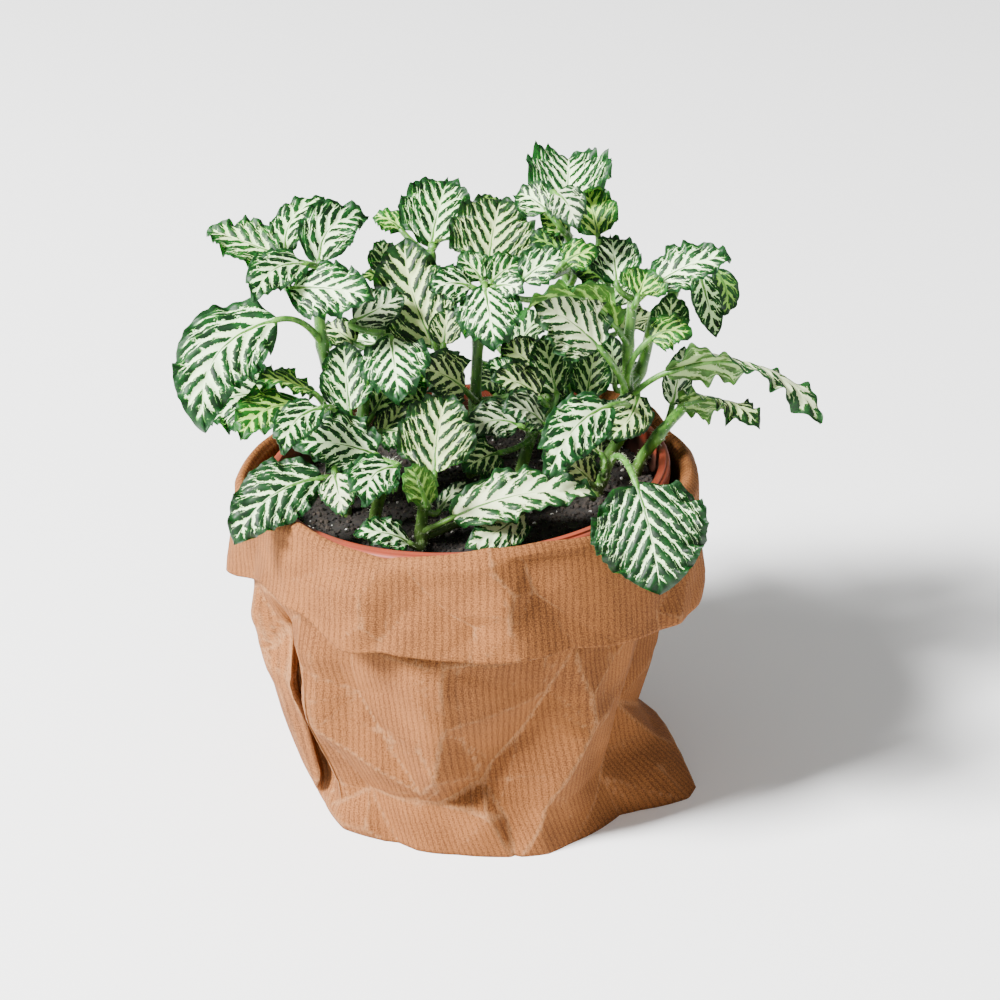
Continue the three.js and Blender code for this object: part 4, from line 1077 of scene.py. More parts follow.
STEMS = (
    LeafyStem("left_tall", (-40, 2), ((-44, 4, 119), (-47, 2, 137), (-48, 6, 149), (-48, 10, 158),), (
        Leaf(3, (-60, 12, 161), (-81, 20, 166), 16, 0.6, 0.05, 0, 10, -20, Look.FINE),
        Leaf(3, (-58, 22, 157), (-48, 44, 168), 11, 0.2, 0.05, -0.35, 10, 0, Look.BOLD),
        Leaf(3, (-48, 14, 158), (-34, 30, 166), 17, 0.8, 0.1, -0.45, 12, 0, Look.SNOWY),
        Leaf(3, (-51, 4, 161), (-64, -16, 158), 14, 0.7, 0.15, 0.3, -5, 0, Look.BOLD),
        Leaf(3, (-55, -2, 156), (-31, -12, 157), 19, 0.6, 0.1, -0.05, -8, 0, Look.SNOWY),
        Leaf(1, (-59, -6, 148), (-78, -30, 124), 24, 0.8, 0.1, 0.45, -5, 0, Look.SNOWY),
    )),
    LeafyStem("left_low", (-41, -9), ((-44, -11, 112), (-45, -12, 122),), (
        Leaf(1, (-61, -4, 124), (-86, -7, 120), 24, 0.6, 0.1, 0.1, 6, 0, Look.SNOWY),
        Leaf(1, (-49, -10, 127), (-64, -18, 135), 13, 0.2, 0.1, 0.1, 5, 0, Look.LEAFY),
        Leaf(1, (-53, -14, 125), (-68, -32, 123), 16, 0.5, 0.15, 0.25, 5, 0, Look.LEAFY),
        Leaf(1, (-46, -24, 128.5), (-55, -42, 123), 12, 0.8, 0.1, 0.3, -5, 0, Look.BOLD),
    )),
    LeafyStem("front_left", (-32, -19), ((-30, -22, 101), (-29, -24, 112),), (
        Leaf(1, (-31, -22, 113), (-54, -27, 119), 20, 0.6, 0.1, 0.1, 8, 0, Look.SNOWY),
        Leaf(0, (-46, -33, 111), (-70, -47, 97), 19, 0.8, 0.18, 0.25, -6, 0, Look.NETTED),
        Leaf(0, (-42, -34, 113), (-39, -48, 107), 11, 1, 0.1, 0, -6, 0, Look.PALE),
        Leaf(1, (-25, -32, 114), (-32, -50, 111), 15, 0.8, 0.12, 0.35, -6, 0, Look.SNOWY),
    )),
    LeafyStem("front", (-18, -31), ((-18, -31, 93), (-17, -33, 103), (-15, -33, 110),), (
        Leaf(2, (-14, -32, 112), (-10, -12, 128), 23, 1, 0.04, -0.1, 10, 0, Look.OLIVE),
        Leaf(1, (-16, -38, 105), (-20, -46, 122), 10, -1, 0, 0, 10, 0, Look.LEAFY),
        Leaf(0, (-21, -44, 96), (-36, -50, 102), 11, 0.5, 0.2, 0.1, 0, 0, Look.SNOWY),
        Leaf(0, (-9, -36, 100), (32, -34, 107), 17, 0.55, 0.1, -0.12, 8, 15, Look.PALE),
        Leaf(1, (-13, -32, 100), (-5, -24, 106), 5, 0.8, 0, -0.1, 0, 0, Look.GREY),
        Leaf(0, (11, -30, 99), (-5, -46, 96), 13, 0.8, 0.1, -0.1, 0, 0, Look.PALE),
    )),
    LeafyStem("mid_left", (-34, 6), ((-36, 4, 112), (-33, 4, 130), (-29, 3, 140),), (
        Leaf(0, (-39, -9, 121), (-41, 3, 138), 16, 1, 0.04, 0, 10, 0, Look.BOLD),
        Leaf(2, (-27, 0, 140), (-24, -22, 130), 21, 1, 0.12, 0, -8, 0, Look.SNOWY),
        Leaf(2, (-38, 8, 135), (-47, 14, 139), 10, 0.6, 0.1, 0, 10, 0, Look.OLIVE),
        Leaf(2, (-38, 8, 142), (-24, 16, 148), 13, 0.8, 0.1, 0.1, 8, 0, Look.GREY),
        Leaf(0, (-31, -4, 109), (-24, 2, 119), 10, 0.8, 0.1, 0.1, 8, 0, Look.OLIVE),
        Leaf(0, (-33, 4, 114), (-26, 14, 124), 10, 0.9, 0, 0, 8, 0, Look.FINE),
        Leaf(0, (-30, -3, 112), (-20, -11, 111), 13, 0.6, 0.15, -0.2, -5, 0, Look.FINE),
        Leaf(0, (-39, -6, 112), (-33, -15, 110), 10, 0.7, 0.15, 0, -5, 0, Look.LEAFY),
    )),
    LeafyStem("back_left", (-17, 22), ((-14, 18, 113), (-13, 16, 129), (-16, 24, 142), (-16, 32, 155),), (
        Leaf(1, (-15, 12, 133), (-24, 30, 160), 25, 1, 0.05, -0.12, 12, 0, Look.OLIVE),
        Leaf(1, (-12, 7, 135), (-11, 14, 144), 10, 0.9, 0, 0, 8, 0, Look.OLIVE),
        Leaf(2, (-29, 24, 150), (-31, 36, 157), 10, 0.8, 0, 0, 12, 0, Look.FINE),
        Leaf(2, (-30, 30, 147), (-37, 28, 148), 6, 0.3, 0.2, 0, 0, 0, Look.LEAFY),
        Leaf(3, (-16, 34, 156), (-11, 54, 170), 24, 1, 0.08, -0.05, 12, 0, Look.BOLD),
        Leaf(3, (-25, 38, 159), (-34, 42, 162), 9, 0.4, 0.2, 0.15, 0, 0, Look.LEAFY),
        Leaf(3, (-3, 54, 162), (5, 58, 161), 4, 0.4, 0.1, -0.25, 0, 0, Look.DEEP),
        Leaf(0, (-18, 14, 113), (-27, 9, 117), 15, 0.7, 0.1, 0.1, 8, 0, Look.FINE),
    )),
    LeafyStem("centre", (-4, 14), ((-3, 16, 113), (-2, 18, 132), (0, 22, 148),), (
        Leaf(2, (1, 24, 152), (5, 46, 167), 27, 1, 0.05, -0.05, 12, 0, Look.OLIVE),
        Leaf(2, (0, 12, 151), (3, -8, 140), 20, 1, 0.15, 0, -12, 0, Look.SNOWY),
        Leaf(2, (-4, 12, 151), (-16, 7, 152), 12, 0.8, 0.15, 0.2, -8, 0, Look.SNOWY),
        Leaf(2, (3, 12, 151), (11, 5, 152), 9, 0.8, 0.15, -0.2, -8, 0, Look.SNOWY),
        Leaf(2, (-1, 18, 151), (-8, 22, 157), 11, 0.7, 0.1, 0.1, 12, 0, Look.FINE),
        Leaf(2, (2, 16, 151), (11, 20, 156), 12, 0.7, 0.1, -0.1, 12, 0, Look.FINE),
        Leaf(0, (-6, 4, 122), (-19, -6, 133), 17, 0.7, 0.1, 0.1, 6, 0, Look.OLIVE),
        Leaf(0, (9, 10, 122), (1, 12, 128), 9, 0.7, 0.1, 0, 6, 0, Look.BOLD),
        Leaf(0, (1, 9, 115), (7, -2, 111), 13, 0.8, 0.15, -0.15, -5, 0, Look.OLIVE),
    )),
    LeafyStem("top", (18, 30), ((22, 30, 120), (24, 30, 143), (25, 29, 160),), (
        Leaf(2, (24, 28, 171), (25, 54, 177), 27, 1, 0.18, 0, 20, 0, Look.SNOWY),
        Leaf(2, (33, 21, 163.5), (30, 36, 174), 15, 0.9, 0.05, 0, 12, 0, Look.LEAFY),
        Leaf(2, (20, 20, 177), (26, 4, 172), 12, 1, 0.2, -0.15, -8, 0, Look.GREY),
        Leaf(2, (18, 18, 172), (9, 26, 175), 12, 0.8, 0.15, 0.1, 8, 0, Look.BOLD),
        Leaf(2, (23, 20, 165), (16, 22, 170), 9, 0.8, 0.1, 0.1, 8, 0, Look.LEAFY),
        Leaf(1, (22, 18, 160), (13, 20, 164), 11, 0.8, 0.05, 0.05, 8, 0, Look.DEEP),
        Leaf(2, (23, 8, 160), (33, 10, 162), 11, 0.6, 0.2, -0.2, -5, 0, Look.LEAFY),
        Leaf(1, (11, 10, 154), (24, 12, 161), 12, 0.7, 0.1, -0.1, 8, 0, Look.BOLD),
        Leaf(1, (34, 18, 152), (25, 18, 155), 9, 0.8, 0.1, 0.1, 5, 0, Look.DEEP),
        Leaf(0, (21, 23, 117), (17, 11, 113), 14, 0.8, 0.1, 0.15, -5, 0, Look.FINE),
    )),
    LeafyStem("right", (36, 12), ((41, 12, 105), (42, 12, 118), (42, 11, 133), (43, 10, 148),), (
        Leaf(2, (38, 6, 141), (9, -4, 149), 17, 0.1, 0.5, 0.05, 0, 0, Look.LEAFY, -50),
        Leaf(1, (33, 0, 137), (14, -2, 152), 22, 0.75, 0.05, 0.1, 10, 0, Look.PALE),
        Leaf(3, (38, 8, 154), (37, 23, 163), 16, 0.9, 0.1, 0, 10, 0, Look.SNOWY),
        Leaf(3, (48, 6, 153), (71, 8, 162), 16, 0.45, 0.15, -0.1, 6, 0, Look.SNOWY),
        Leaf(3, (44, 0, 153), (47, 6, 159), 15, 0.9, 0, 0, 15, 0, Look.LEAFY),
        Leaf(1, (48, 4, 138), (60, 2, 140), 13, 0.5, 0.2, -0.25, -5, 0, Look.LEAFY),
        Leaf(1, (53, 5, 127), (98, -10, 118), 20, 0.1, 0.38, -0.15, -12, -100, Look.PALE, 82),
        Leaf(1, (36, -10, 123), (18, -38, 113), 17, 0.9, 0.15, 0.2, -5, 0, Look.SNOWY),
        Leaf(1, (45, 9, 118), (36, -4, 110), 13, 0.9, 0.1, -0.2, 0, 0, Look.OLIVE),
        Leaf(0, (38, 6, 109), (29, 8, 114), 13, 0.8, 0.1, 0, 5, 0, Look.DEEP),
    )),
    LeafyStem("right_low", (45, 6), ((51, 4, 107), (59, 12, 113),), (
        Leaf(1, (58, 13, 113), (81, 2, 111), 18, 0.1, 0.32, -0.2, -12, -100, Look.OLIVE, 80),
        Leaf(0, (56, 18, 111), (60, 28, 126), 9, 0.8, 0, 0, 5, 0, Look.GREY),
    )),
    LeafyStem("right_front", (33, -6), ((34, -8, 98), (35, -12, 102),), (
        Leaf(1, (42, -48, 116), (48, -69, 93), 33, 1, 0.12, -0.05, -8, 0, Look.NETTED),
        Leaf(0, (31, -14, 100), (21, -20, 111), 14, 0.7, 0.1, 0.1, 6, 0, Look.OLIVE),
        Leaf(0, (34, 0, 103), (26, 0, 110), 12, 0.8, 0.1, 0, 5, 0, Look.OLIVE),
    )),
    LeafyStem("right_back", (36, 29), ((47, 34, 115), (51, 32, 133), (57, 30, 143),), (
        Leaf(2, (63, 20, 152), (68, 12, 135), 9, 1, 0.1, 0, -5, 0, Look.BOLD),
        Leaf(2, (68, 28, 150), (71, 26, 136), 8, 0.9, 0.2, -0.3, -5, 0, Look.DEEP),
        Leaf(1, (53, 19, 133), (55, 28, 143), 12, 1, 0, 0.15, 8, 0, Look.FINE),
        Leaf(0, (39, 26, 114), (38, 34, 127), 11, 1, 0, 0, 5, 0, Look.BOLD),
    )),
    LeafyStem("mid", (10, 2), ((15, 4, 111), (19, 8, 117),), (
        Leaf(1, (21, 8, 119), (17, 20, 133), 13, 1, 0, 0, 8, 0, Look.FINE),
        Leaf(1, (30, 14, 115), (33, 24, 128), 13, 1, 0, 0, 8, 0, Look.FINE),
        Leaf(1, (16, 20, 121), (5, 24, 129), 14, 0.8, 0.1, 0, 8, 0, Look.OLIVE),
        Leaf(1, (16, 2, 120), (2, -2, 128), 14, 0.6, 0.1, 0.2, 8, 0, Look.OLIVE),
        Leaf(0, (10, -6, 115), (-5, -12, 115), 13, 0.6, 0.15, 0.3, 5, 0, Look.GREY),
        Leaf(0, (17, -12, 118), (6, -19, 125), 15, 0.5, 0.15, 0.3, 5, 0, Look.GREY),
        Leaf(0, (4, -12, 109), (-6, -20, 107), 14, 0.7, 0.1, 0.1, 0, 0, Look.FINE),
    )),
    LeafyStem("rear_left", (-24, 42), ((-26, 46, 104), (-28, 48, 120),), (
        Leaf(1, (-30, 54, 122), (-36, 76, 126), 17, 0, 0.1, 0, 8, 0, Look.BOLD),
        Leaf(1, (-33, 48, 118), (-50, 60, 114), 16, 0, 0.12, 0, 6, 0, Look.SNOWY),
        Leaf(1, (-24, 56, 114), (-16, 76, 106), 15, 0, 0.15, 0, 6, 0, Look.OLIVE),
        Leaf(0, (-30, 56, 106), (-38, 74, 92), 17, 0, 0.15, 0, 6, 0, Look.BOLD),
        Leaf(0, (-21, 40, 111), (-14, 29, 114), 15, 0.7, 0.1, 0, 5, 0, Look.DEEP),
    )),
    LeafyStem("rear", (4, 48), ((4, 52, 102), (6, 55, 112),), (
        Leaf(1, (2, 62, 114), (-4, 84, 112), 17, 0, 0.12, 0, 8, 0, Look.SNOWY),
        Leaf(1, (10, 60, 112), (19, 70, 122), 14, 0, 0.1, 0, 8, 0, Look.BOLD),
        Leaf(0, (6, 62, 104), (8, 80, 92), 18, 0, 0.15, 0, 6, 0, Look.OLIVE),
        Leaf(0, (6, 44, 108), (-2, 32, 110), 16, 0.6, 0.15, 0.1, -5, 0, Look.FINE),
    )),
    LeafyStem("rear_right", (24, 39), ((26, 41, 108), (31, 46, 124),), (
        Leaf(1, (38, 56, 126), (44, 76, 132), 17, 0, 0.1, 0, 8, 0, Look.BOLD),
        Leaf(1, (42, 50, 122), (54, 60, 124), 15, 0, 0.12, 0, 6, 0, Look.OLIVE),
        Leaf(1, (34, 58, 118), (31, 82, 111), 16, 0, 0.12, 0, 8, 0, Look.SNOWY),
        Leaf(0, (38, 58, 108), (44, 74, 94), 18, 0, 0.15, 0, 6, 0, Look.BOLD),
    )),
)


# ---- pot and soil ---------------------------------------------------------------------------

@dataclass(frozen=True)
class NurseryPot:
    """The thin pot inside the bag and the soil that fills it."""

    rim_radius: float = 60.0
    rim_band: float = 11.0
    neck_radius: float = 56.4
    base_radius: float = 39.0
    height: float = 96.5
    wall: float = 1.2
    bead: float = 1.1
    tilt: float = math.radians(-3.3)
    lift: float = 3.8
    soil_level: float = 86.5
    sides: int = 160
    drains: int = 4
    drain_radius: float = 4.0
    drain_circle: float = 27.0
    gap: float = 0.35  # between the wall and the soil
    sharp: float = math.radians(50)  # edges from this angle on are shaded sharp
    finish: PotFinish = PotFinish()

    def place(self, points: np.ndarray) -> np.ndarray:
        """Leans points that were made round the pot's own axis as the pot leans in its bag."""
        x, y, z = points.T
        turned = (x * math.cos(self.tilt) + z * math.sin(self.tilt), y,
                  z * math.cos(self.tilt) - x * math.sin(self.tilt) + self.lift)
        return np.stack(turned, axis=1)

    def soil_height(self, x: float) -> float:
        """Height of the soil's surface over a point."""
        return self.lift + self.soil_level * math.cos(self.tilt) - x * math.tan(self.tilt)

    def inner_radius(self, z: float) -> float:
        """Radius of the inside at a height of the pot's own."""
        share = (z - 3) / (self.height - self.rim_band - 4)
        return self.base_radius + (self.neck_radius - self.base_radius) * share - self.wall

    def profile(self) -> np.ndarray:
        """The wall's outline from the base's middle outside to its middle inside."""
        rim, bead, height = self.rim_radius, self.bead, self.height
        under = height - self.rim_band
        turn = np.linspace(-math.pi / 2, math.pi / 2, 7)
        beads = [(rim - bead + bead * math.cos(a), middle + 1.15 * math.sin(a))
                 for middle in (height - 4.6, height - 1.9) for a in turn]
        outside = [(0, 0), (self.base_radius - 2, 0), (self.base_radius - 0.6, 0.6), (self.base_radius, 2),
                   (self.neck_radius, under), (rim - bead - 0.3, under + 0.6), (rim - bead, under + 1.2)]
        lip = [(rim - 1.2, height - 0.15), (rim - 2.2, height), (rim - 3.1, height - 0.3)]
        inside = [(rim - 3.3, under + 2), (self.neck_radius - self.wall, under - 1), (self.base_radius - self.wall, 3),
                  (self.base_radius - self.wall - 2, self.wall), (0, self.wall)]
        return np.array([*outside, *beads, *lip, *inside], float)

    def turned(self, profile: np.ndarray, skin: Skin) -> None:
        """Turns an outline that starts and ends on the axis into a closed skin."""
        angles = np.linspace(0, 2 * math.pi, self.sides, endpoint=False)
        rings = profile[1:-1]
        circle = np.stack([np.cos(angles), np.sin(angles)], axis=1)
        level = np.broadcast_to(rings[:, None, 1:], (len(rings), self.sides, 1))
        points = np.concatenate([rings[:, None, :1] * circle[None], level], axis=2).reshape(-1, 3)
        poles = np.array([(0, 0, profile[0][1]), (0, 0, profile[-1][1])])
        skin.add(self.place(np.vstack([points, poles])), tube_faces(len(rings), self.sides))

    def build(self) -> None:
        """Makes the pot, with its drain holes cut."""
        skin, drills = Skin(), Skin()
        self.turned(self.profile(), skin)
        for k in range(self.drains):
            angle = 2 * math.pi * k / self.drains
            x, y = self.drain_circle * math.cos(angle), self.drain_circle * math.sin(angle)
            line = np.array([(x, y, -4.0), (x, y, 0.0), (x, y, 4.0)])
            points, faces = sweep(line, np.full(len(line), self.drain_radius), 24)
            drills.add(self.place(points), faces)
        pot = skin.piece("pot", self.finish.make())
        drill = drills.piece("pot_drills")
        hole = pot.modifiers.new("drains", "BOOLEAN")
        hole.object, hole.operation, hole.solver = drill, "DIFFERENCE", "EXACT"
        pot.data = plain_mesh(pot)
        bpy.data.objects.remove(drill)
        pot.data.shade_smooth()
        pot.data.set_sharp_from_angle(angle=self.sharp)
        settle(pot, "terracotta_plastic", "nursery_pot")


POT = NurseryPot()


@dataclass(frozen=True)
class Soil:
    """The peat, its crumbs, the white grains and a few bare roots."""

    rings: int = 64
    lumps: float = 1.5  # height of the surface's lumps, and the run of one
    lump_run: float = 9.0
    fine_lumps: float = 0.7
    fine_run: float = 2.6
    heel: float = 3.0
    crumbs: Strewing = Strewing(420000.0, 0.95 * MM, 1.0 * MM, 0.25, 4)
    grains: Strewing = Strewing(22000.0, 0.75 * MM, 0.7 * MM, 0.35, 9)
    peat: SpeckFinish = SpeckFinish("peat", (0.003, 0.0022, 0.0016), (0.015, 0.0095, 0.006), 600.0)
    crumb: SpeckFinish = SpeckFinish("peat_crumbs", (0.004, 0.003, 0.002), (0.024, 0.015, 0.009), 420.0)
    grain: SpeckFinish = SpeckFinish("white_grains", (0.3, 0.28, 0.25), (0.75, 0.73, 0.68), 300.0)
    root: SpeckFinish = SpeckFinish("bare_roots", (0.5, 0.36, 0.24), (0.8, 0.68, 0.52), 400.0, 0.6)
    roots: tuple = (
        ((-51, 16, 90.5), (-54, 10, 95.5), (-52, 4, 96.0), (-47, 0, 90.5)),
        ((-49, 14, 90.0), (-52, 6, 93.5), (-50, -2, 92.0), (-46, -6, 90.0)),
        ((14, -44, 90.5), (17, -46, 93.0), (21, -45, 93.0), (23, -42, 90.8)),
    )

    def surface(self, x: float, y: float) -> float:
        """How far the peat stands above or below its level at a place."""
        coarse = noise.noise(Vector((x / self.lump_run, y / self.lump_run, 3.0)))
        fine = noise.noise(Vector((x / self.fine_run, y / self.fine_run, 7.0)))
        return self.lumps * coarse + self.fine_lumps * fine

    def build(self) -> None:
        """Makes the plug of peat and what lies on it."""
        edge = POT.inner_radius(POT.soil_level) - POT.gap - 0.4
        bottom, level, heel = POT.wall + POT.gap, POT.soil_level, self.heel
        walls = [(POT.inner_radius(bottom) - POT.gap - heel, bottom)]
        walls += [(POT.inner_radius(z) - POT.gap, z) for z in (bottom + heel, level - heel)]
        tops = [(edge * i / self.rings, level) for i in range(self.rings, 0, -1)]
        skin = Skin()
        POT.turned(np.array([(0, bottom), *walls, *tops, (0, level)], float), skin)
        for point in skin.points[0]:
            x, y, z = point
            if z > POT.soil_height(x) - 1:
                point[2] += self.surface(x, y)
        peat = skin.piece("peat", self.peat.make())
        crumbs = Scatter("strewn_crumbs", Shape.CRUMB, self.crumb.make())
        grains = Scatter("strewn_grains", Shape.CRUMB, self.grain.make())
        loose = [crumbs.strew(peat, "peat_crumbs", self.crumbs), grains.strew(peat, "white_grains", self.grains)]
        threads = Skin()
        for path in self.roots:
            line = CatmullRom([np.array(point, float) for point in path]).sample(8)
            threads.add(*sweep(line, np.linspace(0.28, 0.12, len(line)), 6))
        bare = threads.piece("bare_roots", self.root.make())
        settle(peat, "potting_soil", "soil")
        for piece in (*loose, bare):
            settle(piece, "potting_soil")


# ---- paper bag ------------------------------------------------------------------------------

def share_round(azimuth: float) -> float:
    """The share of the way round the bag at which an azimuth lies, from -180 degrees on."""
    return (azimuth + 180) / 360


class Crumple:
    """A field of flat facets that meet in sharp creases, as crumpled paper has."""

    CLEAR = 0.7  # how far drawn corners keep from the listed creases, in pitches
    LAP = 0.3  # how far the field is laid out again past both its ends, in widths
    EDGE = 0.4  # how far out its flat edge lies to the sides, in widths
    MARGIN = 60  # how far out its flat edge lies above and below, in millimetres

    def __init__(self, seed: int, width: float, low: float, high: float, pitch: float, reach: float,
                 lines: tuple[tuple[Triple, ...], ...] = ()) -> None:
        """Draws the facets' corners and joins them.

        Args:
            seed: fixes the draw.
            width: the field's run round the bag, in millimetres, after which it meets itself.
            low: its lowest height.
            high: its highest height.
            pitch: about how far apart the corners are.
            reach: how far in or out a drawn corner may stand.
            lines: listed creases, each a row of corners as (azimuth, height, depth); no corner is drawn near them.
        """
        draw = np.random.default_rng(seed)
        count = int(width * (high - low) / pitch**2)
        corners = np.stack([draw.uniform(0, width, count), draw.uniform(low - pitch, high + pitch, count),
                            draw.uniform(-reach, reach, count)], axis=1)
        edges = []
        if lines:
            fixed = np.array([(share_round(azimuth) * width, z, depth)
                              for line in lines for azimuth, z, depth in line])
            starts = np.cumsum([0] + [len(line) for line in lines])
            edges = [(i, i + 1) for a, b in zip(starts, starts[1:]) for i in range(a, b - 1)]
            off = np.hypot(corners[:, None, 0] - fixed[None, :, 0], corners[:, None, 1] - fixed[None, :, 1])
            corners = np.vstack([fixed, corners[off.min(axis=1) > pitch * self.CLEAR]])
        again = np.vstack([corners + (step * width, 0, 0) for step in (-1, 1)])
        again = again[(again[:, 0] > -self.LAP * width) & (again[:, 0] < (1 + self.LAP) * width)]
        sides, ends = (-self.EDGE * width, (1 + self.EDGE) * width), (low - self.MARGIN, high + self.MARGIN)
        far = [(x, y, 0.0) for x in sides for y in ends]
        corners = np.vstack([corners, again, far])
        found, _, faces, origins, *_ = delaunay_2d_cdt([Vector((x, y)) for x, y, _ in corners], edges, [], 0, 1e-6)
        depths = [float(corners[origin[0]][2]) if origin else 0.0 for origin in origins]
        self.tree = BVHTree.FromPolygons([Vector((p.x, p.y, depth)) for p, depth in zip(found, depths)], faces)

    def depth(self, run: float, height: float) -> float:
        """How far the paper stands out at a place, in millimetres."""
        hit = self.tree.ray_cast(Vector((run, height, 50.0)), Vector((0, 0, -1)))[0]
        return hit.z if hit else 0.0


def read_off(pairs: tuple, place: float) -> float:
    """Reads a value from pairs of place and value that run up in place."""
    places, values = zip(*pairs)
    return float(np.interp(place, places, values))


@dataclass(frozen=True)
class Fold:
    """A straight fold: azimuth, half-width in degrees, depth, heights and slant in degrees per mm."""

    FADE: ClassVar[float] = 9.0  # mm from its ends over which it dies away

    azimuth: float
    half_width: float
    depth: float
    low: float
    high: float
    slant: float = 0.0

    def at(self, azimuth: float, z: float) -> float:
        """How far the fold pushes the paper out at a place."""
        line = self.azimuth + self.slant * (z - (self.low + self.high) / 2)
        turn = (azimuth - line + 180) % 360 - 180
        across = max(0.0, 1 - abs(turn) / self.half_width)
        along = min(1.0, max(0.0, min(z - self.low, self.high - z) / self.FADE))
        return self.depth * across * along


